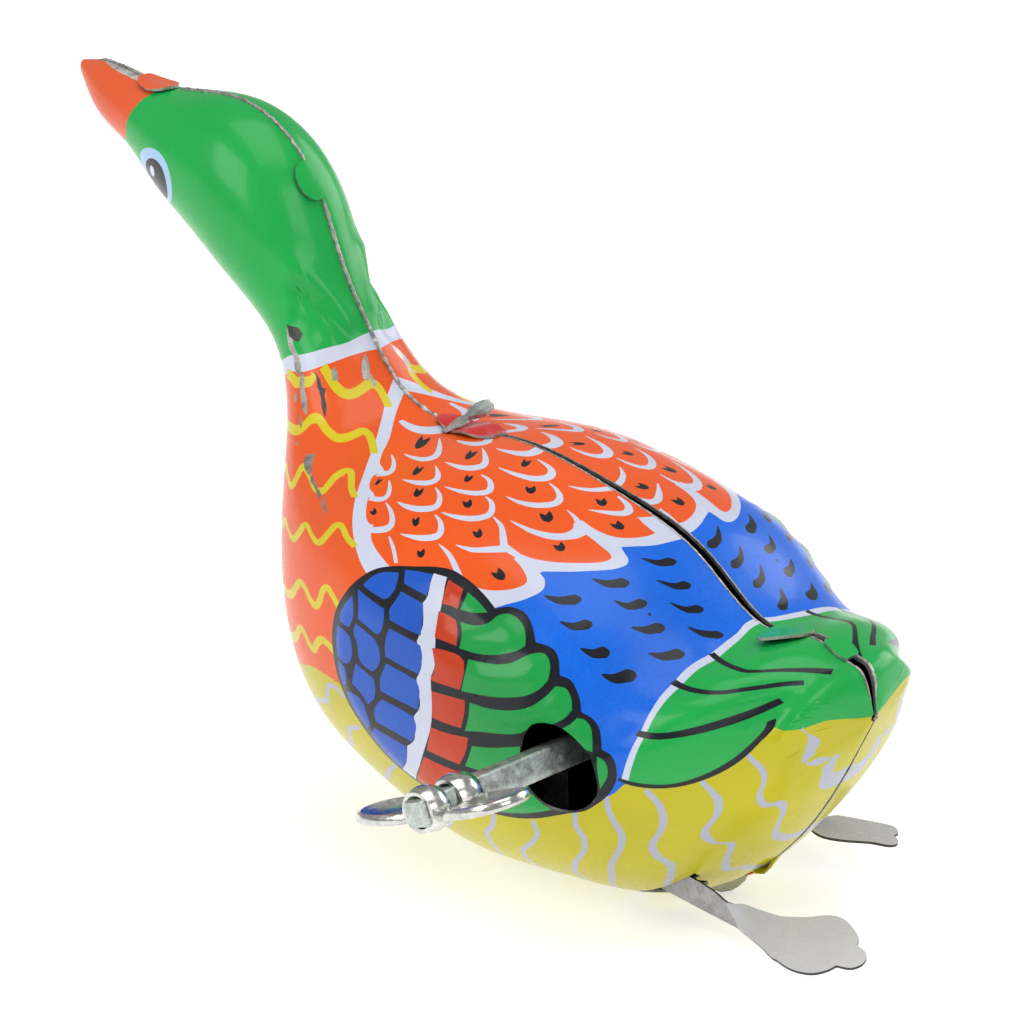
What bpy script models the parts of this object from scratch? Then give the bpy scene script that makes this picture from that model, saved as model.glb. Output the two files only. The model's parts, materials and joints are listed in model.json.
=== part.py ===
"""Wind-up tin duck: two pressed and printed half shells round a small clockwork.

Run with: blender --background --python part.py
Lengths in the tables are millimetres in the toy's own axes: the bird looks along -Y, its left side,
where the key is, is +X, and +Z is up. The belly rests at z = 0 and the seam lies on x = 0.
The empty "toy" carries everything and centres the whole outline, key included, on the origin.
"""

import math

import bmesh
import bpy
import numpy as np

MM = 0.001
TOY_PLACE = (-9.35, -1.5, -0.1)    # where the body's own origin sits, in mm
FIT_GAP = 0.1                      # round a pin, shaft or bore
REST_GAP = 0.3                     # between faces that touch on the real toy

# Shell stations from beak tip to tail tip:
# back line y, z; belly line y, z; half width; level of the widest point; fullness above and below it
STATIONS = (
    (-65.6, 82.8, -65.4, 80.8, 0.6, 0.50, 2.00, 2.00),
    (-61.0, 83.3, -62.2, 77.0, 2.4, 0.50, 2.00, 2.00),
    (-53.0, 82.0, -56.0, 73.6, 4.1, 0.50, 2.00, 2.00),
    (-45.0, 82.4, -50.0, 69.4, 6.5, 0.50, 2.00, 2.00),
    (-37.0, 82.5, -43.5, 65.0, 8.0, 0.50, 2.00, 2.00),
    (-29.8, 79.2, -37.8, 60.8, 8.5, 0.50, 2.00, 2.00),
    (-25.0, 73.0, -32.8, 57.0, 7.9, 0.50, 2.00, 2.00),
    (-21.5, 64.8, -29.2, 52.5, 7.1, 0.50, 2.00, 2.00),
    (-17.5, 58.0, -27.2, 46.5, 8.3, 0.50, 2.00, 2.00),
    (-12.0, 51.4, -26.0, 40.0, 11.5, 0.50, 2.00, 2.10),
    (-4.0, 48.9, -24.2, 32.0, 16.5, 0.46, 2.20, 2.20),
    (6.0, 49.2, -21.0, 22.6, 21.3, 0.43, 2.25, 2.40),
    (16.0, 48.0, -14.5, 12.6, 25.0, 0.42, 2.30, 2.40),
    (26.0, 45.5, -3.0, 5.2, 26.5, 0.42, 2.35, 2.25),
    (35.5, 41.5, 10.0, 1.0, 26.2, 0.42, 2.35, 2.25),
    (44.4, 35.4, 24.0, 0.6, 23.5, 0.42, 2.35, 2.25),
    (52.5, 35.6, 37.0, 1.2, 18.5, 0.38, 2.30, 2.00),
    (58.0, 34.0, 49.0, 10.0, 11.5, 0.36, 2.20, 1.90),
    (60.3, 31.0, 57.5, 22.0, 6.0, 0.34, 2.00, 2.00),
    (60.8, 28.5, 60.6, 27.5, 0.5, 0.50, 2.00, 2.00),
)
SHELL_THICKNESS = 0.4
SEAM_HALF_GAP = 0.2
SHELL_ROWS = 44                    # rings from beak to tail
SHELL_COLUMNS = 14                 # points from back seam to belly seam
HOLLOW_START, HOLLOW_END = 0.035, 0.985   # where the hollow begins and ends along the bird

# Clockwork, all axes along X; (y, z) of each
KEY_AXIS = (32.5, 23.0)
MODULE = 0.5
DRIVE_TEETH, PINION_TEETH = 36, 12
CRANK_GEAR_TEETH, ESCAPE_PINION_TEETH = 24, 12
CRANK_BEARING = math.radians(-85)  # direction from the key axis to the crank shaft
ESCAPE_BEARING = math.radians(35)  # direction from the crank shaft to the escape shaft
VERGE_BEARING = math.radians(56)
VERGE_DISTANCE = 6.9

KEY_HOLE = (34.0, 22.6, 4.9, 5.6)  # y, z, half length, half height
PLATE_X = 9.0
PLATE_THICKNESS = 0.8
PLATE_OUTLINE = ((17, 11), (24, 5), (39, 5.8), (47.5, 13.5), (47.5, 26), (40, 36.5), (22, 36.5), (16, 29))
PILLARS = {
    "front_lower": (20, 11.5),
    "front_upper": (19, 30),
    "rear_upper": (40, 33.5),
    "rear_lower": (44.2, 11.5),
}
PILLAR_RADIUS = 1.2
SHAFT_RADIUS = 0.8
ARBOR_RADIUS = 1.4
CRANK_THROW = 6.2
LEG_X = 12.5
LEG_THICKNESS = 0.7
# For each leg: level of the strut and of the sole; how far behind its pin the twist starts and the toes end;
# how far the foot lies inside the line of its strut
LEGS = {"left_leg": (5.2, 3.95, 11.0, 28.8, 1.5), "right_leg": (7.4, 5.45, 13.8, 25.2, -1.6)}
BELLY_SLOT = ((22.0, 36.0, 1.1), (36.0, 46.5, 2.6))   # y from, y to, half width; wide where the leg twists


def at_bearing(origin, distance, bearing):
    return (origin[0] + distance * math.cos(bearing), origin[1] + distance * math.sin(bearing))


DRIVE_DISTANCE = MODULE * (DRIVE_TEETH + PINION_TEETH) / 2
ESCAPE_DISTANCE = MODULE * (CRANK_GEAR_TEETH + ESCAPE_PINION_TEETH) / 2
CRANK_AXIS = at_bearing(KEY_AXIS, DRIVE_DISTANCE, CRANK_BEARING)
ESCAPE_AXIS = at_bearing(CRANK_AXIS, ESCAPE_DISTANCE, ESCAPE_BEARING)
VERGE_AXIS = at_bearing(ESCAPE_AXIS, VERGE_DISTANCE, VERGE_BEARING)


# ---------------------------------------------------------------- scene and materials
def clear_scene():
    for obj in list(bpy.data.objects):
        bpy.data.objects.remove(obj)


def material(name, colour, metallic, roughness):
    made = bpy.data.materials.new(name)
    made.use_nodes = True
    shader = made.node_tree.nodes["Principled BSDF"]
    shader.inputs["Base Color"].default_value = (*colour, 1)
    shader.inputs["Metallic"].default_value = metallic
    shader.inputs["Roughness"].default_value = roughness
    made.diffuse_color = (*colour, 1)
    return made


def make_materials():
    return {
        "printed_tin": material("printed_tin", (0.75, 0.22, 0.06), 0.2, 0.3),
        "tinplate": material("tinplate", (0.62, 0.62, 0.6), 0.9, 0.35),
        "zinc_plated": material("zinc_plated", (0.66, 0.67, 0.68), 1.0, 0.3),
        "brass": material("brass", (0.72, 0.52, 0.2), 1.0, 0.35),
        "spring_steel": material("spring_steel", (0.24, 0.26, 0.32), 1.0, 0.3),
        "white_enamel": material("white_enamel", (0.85, 0.85, 0.88), 0.1, 0.3),
    }


# ---------------------------------------------------------------- mesh helpers
def add_object(name, mesh_data, toy, finish, origin=(0, 0)):
    """A mesh from (points in mm, faces); its object sits at the (y, z) of its joint's axis, under the toy."""
    points, faces = mesh_data
    moved = [(x * MM, (y - origin[0]) * MM, (z - origin[1]) * MM) for x, y, z in points]
    mesh = bpy.data.meshes.new(name)
    mesh.from_pydata(moved, [], faces)
    edit = bmesh.new()
    edit.from_mesh(mesh)
    bmesh.ops.recalc_face_normals(edit, faces=edit.faces)
    edit.to_mesh(mesh)
    edit.free()
    mesh.shade_smooth()
    mesh.set_sharp_from_angle(angle=math.radians(35))
    obj = bpy.data.objects.new(name, mesh)
    bpy.context.scene.collection.objects.link(obj)
    obj.parent = toy
    obj.location = (0, origin[0] * MM, origin[1] * MM)
    if finish:
        mesh.materials.append(finish)
    return obj


def add_boolean(obj, other, operation):
    """Joins or cuts with another object, which is then only a helper."""
    modifier = obj.modifiers.new(operation.lower() + "_" + other.name, "BOOLEAN")
    modifier.operation = operation
    modifier.solver = "EXACT"
    modifier.object = other
    other.hide_render = True
    other.display_type = "WIRE"


def joined(*mesh_data):
    """Several (points, faces) as one."""
    points, faces = [], []
    for more_points, more_faces in mesh_data:
        start = len(points)
        points += more_points
        faces += [tuple(start + i for i in face) for face in more_faces]
    return points, faces


def circle(centre, radius, count=24, squash=1.0):
    angles = [2 * math.pi * i / count for i in range(count)]
    return [(centre[0] + radius * math.cos(a), centre[1] + radius * squash * math.sin(a)) for a in angles]


def prism(outline, x0, x1):
    """A plate: the (y, z) outline extruded from x0 to x1."""
    count = len(outline)
    points = [(x, y, z) for x in (x0, x1) for y, z in outline]
    sides = [(i, (i + 1) % count, count + (i + 1) % count, count + i) for i in range(count)]
    return points, sides + [tuple(reversed(range(count))), tuple(range(count, 2 * count))]


def ring_prism(outer, inner, x0, x1):
    """A plate with a hole: both (y, z) outlines have the same number of points."""
    count = len(outer)
    points = [(x, y, z) for x in (x0, x1) for loop in (outer, inner) for y, z in loop]
    faces = []
    for i in range(count):
        j = (i + 1) % count
        faces.append((i, j, 2 * count + j, 2 * count + i))
        faces.append((count + j, count + i, 3 * count + i, 3 * count + j))
        faces.append((j, i, count + i, count + j))
        faces.append((2 * count + i, 2 * count + j, 3 * count + j, 3 * count + i))
    return points, faces


def turned(profile, axis, count=24):
    """A solid of revolution about X through axis; profile is (x, radius) from one end to the other."""
    points, faces = [], []
    for x, radius in profile:
        points += [(x, y, z) for y, z in circle(axis, radius, count)]
    for k in range(len(profile) - 1):
        for i in range(count):
            j = (i + 1) % count
            faces.append((k * count + i, k * count + j, (k + 1) * count + j, (k + 1) * count + i))
    last = (len(profile) - 1) * count
    return points, faces + [tuple(reversed(range(count))), tuple(range(last, last + count))]


def gear_outline(axis, teeth, phase, module=MODULE):
    """Straight-sided teeth, four points each, with one tooth centred on the phase angle."""
    pitch = 2 * math.pi / teeth
    tip, root = module * (teeth / 2 + 0.9), module * (teeth / 2 - 1.2)
    corners = ((root, -0.30), (tip, -0.13), (tip, 0.13), (root, 0.30))
    return [
        at_bearing(axis, radius, phase + pitch * (k + share))
        for k in range(teeth)
        for radius, share in corners
    ]


def saw_outline(axis, teeth, tip, root, phase=0.0):
    """Ratchet or escape teeth: a slow ramp and a steep face."""
    pitch = 2 * math.pi / teeth
    corners = ((root, 0.0), (tip, 0.72), (tip, 0.86), (root, 0.92))
    return [
        at_bearing(axis, radius, phase + pitch * (k + share))
        for k in range(teeth)
        for radius, share in corners
    ]


def wheel(outline, axis, bore, x0, x1):
    """A toothed wheel with a round bore."""
    angles = [math.atan2(z - axis[1], y - axis[0]) for y, z in outline]
    return ring_prism(outline, [at_bearing(axis, bore, a) for a in angles], x0, x1)


def strip(sections):
    """A bent sheet strip: each section is (centre, half-width vector, half-thickness vector)."""
    points, faces = [], []
    for centre, width, thick in sections:
        centre, width, thick = np.array(centre, float), np.array(width, float), np.array(thick, float)
        for sign_w, sign_t in ((-1, -1), (1, -1), (1, 1), (-1, 1)):
            points.append(tuple(centre + sign_w * width + sign_t * thick))
    for k in range(len(sections) - 1):
        for i in range(4):
            j = (i + 1) % 4
            faces.append((4 * k + i, 4 * k + j, 4 * k + 4 + j, 4 * k + 4 + i))
    last = 4 * (len(sections) - 1)
    return points, faces + [(3, 2, 1, 0), (last, last + 1, last + 2, last + 3)]


# ---------------------------------------------------------------- the shell surface
def natural_spline(t, knots, values):
    """Natural cubic spline through the rows of values, read at each t."""
    n = len(knots)
    h = np.diff(knots)
    matrix, right = np.zeros((n, n)), np.zeros((n, values.shape[1]))
    matrix[0, 0] = matrix[-1, -1] = 1
    for i in range(1, n - 1):
        matrix[i, i - 1 : i + 2] = h[i - 1], 2 * (h[i - 1] + h[i]), h[i]
        right[i] = 6 * ((values[i + 1] - values[i]) / h[i] - (values[i] - values[i - 1]) / h[i - 1])
    bend = np.linalg.solve(matrix, right)
    i = np.clip(np.searchsorted(knots, t, side="right") - 1, 0, n - 2)
    a, b, span = (knots[i + 1] - t)[:, None], (t - knots[i])[:, None], h[i][:, None]
    curved = (a**3 * bend[i] + b**3 * bend[i + 1]) / (6 * span)
    low = values[i] / span - bend[i] * span / 6
    high = values[i + 1] / span - bend[i + 1] * span / 6
    return curved + low * a + high * b


def section_values(s):
    """The station values at each place s from 0 at the beak tip to 1 at the tail tip."""
    table = np.array(STATIONS)
    level = table[:, 5:6]
    middle = table[:, 0:2] * (1 - level) + table[:, 2:4] * level
    knots = np.concatenate([[0], np.cumsum(np.linalg.norm(np.diff(middle, axis=0), axis=1))])
    return natural_spline(np.asarray(s, float), knots / knots[-1], table)


def shell_row(values, inset):
    """Points of one half ring from the back seam to the belly seam, moved in by inset."""
    back, belly, half_width, level = values[0:2], values[2:4], values[4], values[5]
    middle = back * (1 - level) + belly * level
    row = []
    for column in range(SHELL_COLUMNS + 1):
        angle = math.pi * column / SHELL_COLUMNS
        end, power = (back, values[6]) if column * 2 <= SHELL_COLUMNS else (belly, values[7])
        reach = np.linalg.norm(end - middle)
        out = (end - middle) / reach * (reach - inset) * abs(math.cos(angle)) ** (2 / power)
        side = (half_width - inset) * abs(math.sin(angle)) ** (2 / power)
        row.append((SEAM_HALF_GAP + side, *(middle + out)))
    return row


def half_shell_mesh(side):
    """One pressed half: outer skin, inner skin and the cut edge along the seam."""
    steps = np.linspace(0, 1, SHELL_ROWS + 1)
    hollow = HOLLOW_START + (HOLLOW_END - HOLLOW_START) * steps
    outer = [shell_row(v, 0.0) for v in section_values(steps)]
    inner = [shell_row(v, SHELL_THICKNESS) for v in section_values(hollow)]
    points = [(side * x, y, z) for row in outer + inner for x, y, z in row]
    width = SHELL_COLUMNS + 1
    shift = width * (SHELL_ROWS + 1)
    faces = []
    for r in range(SHELL_ROWS):
        for c in range(SHELL_COLUMNS):
            quad = (r * width + c, r * width + c + 1, (r + 1) * width + c + 1, (r + 1) * width + c)
            faces.append(quad)
            faces.append(tuple(shift + i for i in reversed(quad)))
        for c, turn in ((0, 1), (SHELL_COLUMNS, -1)):
            edge = (r * width + c, (r + 1) * width + c, shift + (r + 1) * width + c, shift + r * width + c)
            faces.append(edge[::turn])
    for r, turn in ((0, 1), (SHELL_ROWS, -1)):
        end = [r * width + c for c in range(width)]
        faces.append(tuple(end[::-turn]))
        faces.append(tuple(shift + i for i in end[::turn]))
        faces.append((end[0], end[-1], shift + end[-1], shift + end[0])[::turn])
    return points, faces


def add_shells(toy, tin):
    left = add_object("left_shell", half_shell_mesh(1), toy, tin)
    right = add_object("right_shell", half_shell_mesh(-1), toy, tin)
    y, z, half_length, half_height = KEY_HOLE
    oval = circle((y, z), half_length, 28, half_height / half_length)
    key_cutter = add_object("key_hole_cutter", prism(oval, 15, 40), toy, None)
    add_boolean(left, key_cutter, "DIFFERENCE")
    (front, step, narrow), (_, rear, wide) = BELLY_SLOT
    half = [(narrow, front), (narrow, step), (wide, step), (wide, rear)]
    slot = half + [(-x, y) for x, y in reversed(half)]
    for obj, side in ((left, 1), (right, -1)):
        upright = prism([(side * LEG_X + x, y) for x, y in slot], -3, 12)
        points = [(across, along, height) for height, across, along in upright[0]]
        cutter = add_object(obj.name + "_slot_cutter", (points, upright[1]), toy, None)
        add_boolean(obj, cutter, "DIFFERENCE")


# ---------------------------------------------------------------- clockwork
def add_frame(toy, finishes):
    shafts = (
        (KEY_AXIS, ARBOR_RADIUS),
        (CRANK_AXIS, SHAFT_RADIUS),
        (ESCAPE_AXIS, SHAFT_RADIUS),
        (VERGE_AXIS, SHAFT_RADIUS),
    )
    holes = [turned(((-12, r + FIT_GAP), (12, r + FIT_GAP)), axis) for axis, r in shafts]
    cutter = add_object("plate_hole_cutter", joined(*holes), toy, None)
    for name, side in (("left_frame_plate", 1), ("right_frame_plate", -1)):
        x0 = side * (PLATE_X + PLATE_THICKNESS / 2)
        x1 = side * (PLATE_X - PLATE_THICKNESS / 2)
        plate = add_object(name, prism(PLATE_OUTLINE, min(x0, x1), max(x0, x1)), toy, finishes["tinplate"])
        add_boolean(plate, cutter, "DIFFERENCE")
    inner = PLATE_X - PLATE_THICKNESS / 2 - REST_GAP
    for name, axis in PILLARS.items():
        post = turned(((-inner, PILLAR_RADIUS), (inner, PILLAR_RADIUS)), axis, 12)
        add_object(name + "_pillar", post, toy, finishes["tinplate"], axis)


def add_winding_set(toy, finishes):
    """The arbor that the key turns, with the ratchet wheel and a collar on it."""
    profile = ((-10.2, ARBOR_RADIUS), (KEY_END[0] - REST_GAP, ARBOR_RADIUS))
    add_object("winding_arbor", turned(profile, KEY_AXIS), toy, finishes["zinc_plated"], KEY_AXIS)
    bore = ARBOR_RADIUS + FIT_GAP
    ratchet = wheel(saw_outline(KEY_AXIS, 12, 4.4, 3.4), KEY_AXIS, bore, 0.9, 1.8)
    add_object("ratchet_wheel", ratchet, toy, finishes["spring_steel"], KEY_AXIS)
    collar = ring_prism(circle(KEY_AXIS, 2.6), circle(KEY_AXIS, bore), 3.8, 7.9)
    add_object("arbor_collar", collar, toy, finishes["brass"], KEY_AXIS)


KEY_END = (36.6, 45.6)             # x where the key's hub starts and ends
KEY_SPAN, KEY_CHORD = 25.0, 9.0
KEY_ROLL = math.radians(18)


def key_outline():
    """Butterfly outline in the key's own plane: x along the shaft, second value along the span."""
    lobe_y, lobe_r = KEY_SPAN / 2 - 5.4, 5.4
    middle_x = sum(KEY_END) / 2
    outline = []
    for sign in (1, -1):
        for k in range(15):
            angle = math.radians(-140 + 280 * k / 14)
            across = sign * (lobe_y + lobe_r * math.cos(angle))
            outline.append((middle_x + sign * KEY_CHORD / 2 * math.sin(angle), across))
    return outline


def add_key(toy, finishes):
    outline = key_outline()
    plate = prism(outline, -0.6, 0.6)
    points = [(x, KEY_AXIS[0] + y, KEY_AXIS[1] + z) for z, x, y in plate[0]]
    key = add_object("winding_key", (points, plate[1]), toy, finishes["zinc_plated"], KEY_AXIS)
    hub_shape = turned(((KEY_END[0], 2.4), (KEY_END[1], 2.4)), KEY_AXIS, 16)
    hub = add_object("key_hub_helper", hub_shape, toy, None)
    add_boolean(key, hub, "UNION")
    key.rotation_euler = (KEY_ROLL, 0, 0)


def mainspring_mesh():
    """A flat steel ribbon wound in a spiral round the arbor."""
    turns, per_turn, inner, outer, half_thick = 6, 20, 2.1, 8.2, 0.16
    sections = []
    for k in range(turns * per_turn + 1):
        angle = 2 * math.pi * k / per_turn
        radius = inner + (outer - inner) * k / (turns * per_turn)
        y, z = at_bearing(KEY_AXIS, radius, angle)
        thick = (0, half_thick * math.cos(angle), half_thick * math.sin(angle))
        sections.append(((-4.8, y, z), (2.4, 0, 0), thick))
    return strip(sections)


def add_drive_set(toy, finishes):
    add_object("mainspring", mainspring_mesh(), toy, finishes["spring_steel"], KEY_AXIS)
    outline = gear_outline(KEY_AXIS, DRIVE_TEETH, CRANK_BEARING)
    gear = wheel(outline, KEY_AXIS, ARBOR_RADIUS + FIT_GAP, 2.4, 3.4)
    add_object("drive_gear", gear, toy, finishes["brass"], KEY_AXIS)
    pivot = click_pivot()
    nose = at_bearing(KEY_AXIS, 4.4 + REST_GAP, math.radians(75))
    tail = at_bearing(pivot, 1.1, math.radians(60))
    heel = at_bearing(pivot, 1.1, math.radians(-60))
    outline = [nose, at_bearing(KEY_AXIS, 5.7, math.radians(78)), tail, at_bearing(pivot, 1.1, 0), heel]
    add_object("click_pawl", prism(outline, 0.9, 2.1), toy, finishes["spring_steel"], pivot)


def click_pivot():
    return at_bearing(KEY_AXIS, 6.9, math.radians(40))


def add_crank_set(toy, finishes):
    """The slow shaft that works the legs: pinion, gear and a crank outside each plate."""
    axis, bore = CRANK_AXIS, SHAFT_RADIUS + FIT_GAP
    add_object("crank_shaft", turned(((-9.9, SHAFT_RADIUS), (9.9, SHAFT_RADIUS)), axis, 16), toy,
               finishes["zinc_plated"], axis)
    phase = CRANK_BEARING + math.pi + math.pi / PINION_TEETH
    pinion = wheel(gear_outline(axis, PINION_TEETH, phase), axis, bore, 2.2, 3.7)
    add_object("crank_pinion", pinion, toy, finishes["brass"], axis)
    gear = wheel(gear_outline(axis, CRANK_GEAR_TEETH, ESCAPE_BEARING), axis, bore, 5.0, 5.9)
    add_object("crank_gear", gear, toy, finishes["brass"], axis)
    for name, side in (("left_crank", 1), ("right_crank", -1)):
        pin = (axis[0] + side * CRANK_THROW, axis[1])
        outline = [at_bearing(axis, 1.8, math.pi * (0.5 + k / 8)) for k in range(9)]
        end = (axis[0] + CRANK_THROW, axis[1])
        outline += [at_bearing(end, 1.0, math.pi * (-0.5 + k / 8)) for k in range(9)]
        outline = [(axis[0] + side * (y - axis[0]), z) for y, z in outline]
        x_in, x_out = side * 10.2, side * 11.0
        crank = add_object(name, prism(outline, min(x_in, x_out), max(x_in, x_out)), toy,
                           finishes["zinc_plated"], axis)
        stub = turned(((side * 10.6, 0.8), (side * 11.5, 0.8)), pin, 12)
        add_boolean(crank, add_object(name + "_pin_helper", stub, toy, None), "UNION")


def add_escapement(toy, finishes):
    """The fast wheel and the rocking verge that slow the spring down."""
    axis, bore = ESCAPE_AXIS, SHAFT_RADIUS + FIT_GAP
    add_object("escape_shaft", turned(((-9.9, SHAFT_RADIUS), (9.9, SHAFT_RADIUS)), axis, 16), toy,
               finishes["zinc_plated"], axis)
    phase = ESCAPE_BEARING + math.pi + math.pi / ESCAPE_PINION_TEETH
    pinion = wheel(gear_outline(axis, ESCAPE_PINION_TEETH, phase), axis, bore, 4.8, 6.1)
    add_object("escape_pinion", pinion, toy, finishes["brass"], axis)
    star = wheel(saw_outline(axis, 10, 4.2, 2.9), axis, bore, -0.8, 0.0)
    add_object("escape_wheel", star, toy, finishes["brass"], axis)
    post = VERGE_AXIS
    add_object("verge_pin", turned(((-9.9, SHAFT_RADIUS), (9.9, SHAFT_RADIUS)), post, 16), toy,
               finishes["zinc_plated"], post)
    hub = [at_bearing(post, 1.7, 2 * math.pi * k / 24) for k in range(24)]
    arms = []
    for k, (y, z) in enumerate(hub):
        angle = 2 * math.pi * k / 24
        reach = 3.6 if k in (6, 7, 17, 18) else 1.7
        arms.append(at_bearing(post, reach, angle + VERGE_BEARING))
    bore_loop = [at_bearing(post, bore, 2 * math.pi * k / 24 + VERGE_BEARING) for k in range(24)]
    add_object("verge", ring_prism(arms, bore_loop, -0.8, 0.0), toy, finishes["spring_steel"], post)


# ---------------------------------------------------------------- legs and lugs
def leg_mesh(side, pin_y, strut_z, sole_z, ankle_back, reach, foot_inset):
    """One strip: up to the crank pin, back under the belly, a quarter twist, and the flat webbed foot."""
    x, half = side * LEG_X, LEG_THICKNESS / 2
    foot_z = sole_z + half
    bend = 3.0
    sections = [((x, pin_y, z), (0, 2, 0), (half, 0, 0)) for z in (18.0, strut_z + bend)]
    for k in range(1, 5):
        angle = math.radians(90 * k / 4)
        y = pin_y + bend * (1 - math.cos(angle))
        z = strut_z + bend * (1 - math.sin(angle))
        sections.append(((x, y, z), (0, 2 * math.cos(angle), 2 * math.sin(angle)), (half, 0, 0)))
    ankle_y, twist = pin_y + ankle_back, 3.6
    for k in range(5):
        angle = math.radians(90 * k / 4)
        y = ankle_y + twist * k / 4
        z = strut_z + (foot_z - strut_z) * (k / 4) ** 1.2
        wide = (side * 2 * math.sin(angle), 0, 2 * math.cos(angle))
        thin = (half * math.cos(angle), 0, -side * half * math.sin(angle))
        sections.append(((x, y, z), wide, thin))
    start, end = ankle_y + twist, pin_y + reach
    for share, wide in ((0.15, 2.6), (0.33, 4.1), (0.55, 5.0), (0.8, 5.0), (0.92, 4.4), (1.0, 2.6)):
        inset = side * foot_inset * min(1.0, share / 0.55)
        centre = (x - inset, start + (end - start) * share, foot_z)
        sections.append((centre, (side * wide, 0, 0), (0, 0, -side * half)))
    return strip(sections)


def add_legs(toy, finishes):
    for name, side in (("left_leg", 1), ("right_leg", -1)):
        pin_y = CRANK_AXIS[0] + side * CRANK_THROW
        mesh = leg_mesh(side, pin_y, *LEGS[name])
        add_object(name, mesh, toy, finishes["white_enamel"], (pin_y, CRANK_AXIS[1]))


def add_twist_lugs(toy, finishes):
    """Ends of the frame's straps, twisted over the seam to hold the clockwork in the shells."""
    top = ((-3.6, 1.4), (-1.2, 0.8), (1.2, 0.8), (3.6, 1.4),
           (3.6, -1.4), (1.2, -0.8), (-1.2, -0.8), (-3.6, -1.4))
    flat = prism([(-2.0 + v, u) for u, v in top], 49.9, 50.6)
    points = [(across, along, height) for height, along, across in flat[0]]
    add_object("back_twist_lug", (points, flat[1]), toy, finishes["tinplate"])
    for name, y, z in (("front_belly_lug", 41.5, 0.6), ("rear_belly_lug", 45.6, 3.4)):
        lug = [(y - 1.5, z), (y + 1.5, z + 2.2), (y + 1.2, z + 2.7), (y - 1.8, z + 0.5)]
        add_object(name, prism(lug, -2.4, 2.4), toy, finishes["tinplate"])


def main():
    clear_scene()
    toy = bpy.data.objects.new("toy", None)
    bpy.context.scene.collection.objects.link(toy)
    toy.location = [value * MM for value in TOY_PLACE]
    finishes = make_materials()
    add_shells(toy, finishes["printed_tin"])
    add_frame(toy, finishes)
    add_winding_set(toy, finishes)
    add_key(toy, finishes)
    add_drive_set(toy, finishes)
    add_crank_set(toy, finishes)
    add_escapement(toy, finishes)
    add_legs(toy, finishes)
    add_twist_lugs(toy, finishes)


main()
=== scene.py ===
import json
import math

import bmesh
import bpy
import numpy as np
from mathutils import Matrix, Vector
from mathutils.geometry import delaunay_2d_cdt

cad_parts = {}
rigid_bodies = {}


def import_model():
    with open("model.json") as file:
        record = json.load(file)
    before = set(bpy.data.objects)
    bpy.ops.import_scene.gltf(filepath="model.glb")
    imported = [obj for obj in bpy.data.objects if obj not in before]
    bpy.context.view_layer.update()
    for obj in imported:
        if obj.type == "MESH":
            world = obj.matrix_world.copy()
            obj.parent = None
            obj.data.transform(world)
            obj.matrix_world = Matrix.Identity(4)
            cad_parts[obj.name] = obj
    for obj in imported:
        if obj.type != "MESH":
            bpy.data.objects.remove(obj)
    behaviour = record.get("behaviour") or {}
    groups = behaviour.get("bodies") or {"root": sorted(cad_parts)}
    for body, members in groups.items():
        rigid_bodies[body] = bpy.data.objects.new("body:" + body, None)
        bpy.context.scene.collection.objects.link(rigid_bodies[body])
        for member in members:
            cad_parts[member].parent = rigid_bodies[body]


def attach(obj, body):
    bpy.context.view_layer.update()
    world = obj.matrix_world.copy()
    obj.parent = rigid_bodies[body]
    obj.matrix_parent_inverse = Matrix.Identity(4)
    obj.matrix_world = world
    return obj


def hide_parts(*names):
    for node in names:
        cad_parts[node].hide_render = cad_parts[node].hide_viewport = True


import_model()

# The toy's own axes, in mm: the bird looks along -Y, its left side with the key is +X, +Z is up,
# and the seam lies on x = 0. PLACE carries them into the row frame.
MM = 0.001
PLACE = np.array([-9.35, -1.5, -0.1])
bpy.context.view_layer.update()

# Shell stations from beak tip to tail tip, the same as the CAD shells have:
# back line y, z; belly line y, z; half width; level of the widest point; fullness above and below it
STATIONS = np.array([
    (-65.6, 82.8, -65.4, 80.8, 0.6, 0.50, 2.00, 2.00),
    (-61.0, 83.3, -62.2, 77.0, 2.4, 0.50, 2.00, 2.00),
    (-53.0, 82.0, -56.0, 73.6, 4.1, 0.50, 2.00, 2.00),
    (-45.0, 82.4, -50.0, 69.4, 6.5, 0.50, 2.00, 2.00),
    (-37.0, 82.5, -43.5, 65.0, 8.0, 0.50, 2.00, 2.00),
    (-29.8, 79.2, -37.8, 60.8, 8.5, 0.50, 2.00, 2.00),
    (-25.0, 73.0, -32.8, 57.0, 7.9, 0.50, 2.00, 2.00),
    (-21.5, 64.8, -29.2, 52.5, 7.1, 0.50, 2.00, 2.00),
    (-17.5, 58.0, -27.2, 46.5, 8.3, 0.50, 2.00, 2.00),
    (-12.0, 51.4, -26.0, 40.0, 11.5, 0.50, 2.00, 2.10),
    (-4.0, 48.9, -24.2, 32.0, 16.5, 0.46, 2.20, 2.20),
    (6.0, 49.2, -21.0, 22.6, 21.3, 0.43, 2.25, 2.40),
    (16.0, 48.0, -14.5, 12.6, 25.0, 0.42, 2.30, 2.40),
    (26.0, 45.5, -3.0, 5.2, 26.5, 0.42, 2.35, 2.25),
    (35.5, 41.5, 10.0, 1.0, 26.2, 0.42, 2.35, 2.25),
    (44.4, 35.4, 24.0, 0.6, 23.5, 0.42, 2.35, 2.25),
    (52.5, 35.6, 37.0, 1.2, 18.5, 0.38, 2.30, 2.00),
    (58.0, 34.0, 49.0, 10.0, 11.5, 0.36, 2.20, 1.90),
    (60.3, 31.0, 57.5, 22.0, 6.0, 0.34, 2.00, 2.00),
    (60.8, 28.5, 60.6, 27.5, 0.5, 0.50, 2.00, 2.00),
])
SHELL_THICKNESS = 0.35

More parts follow.
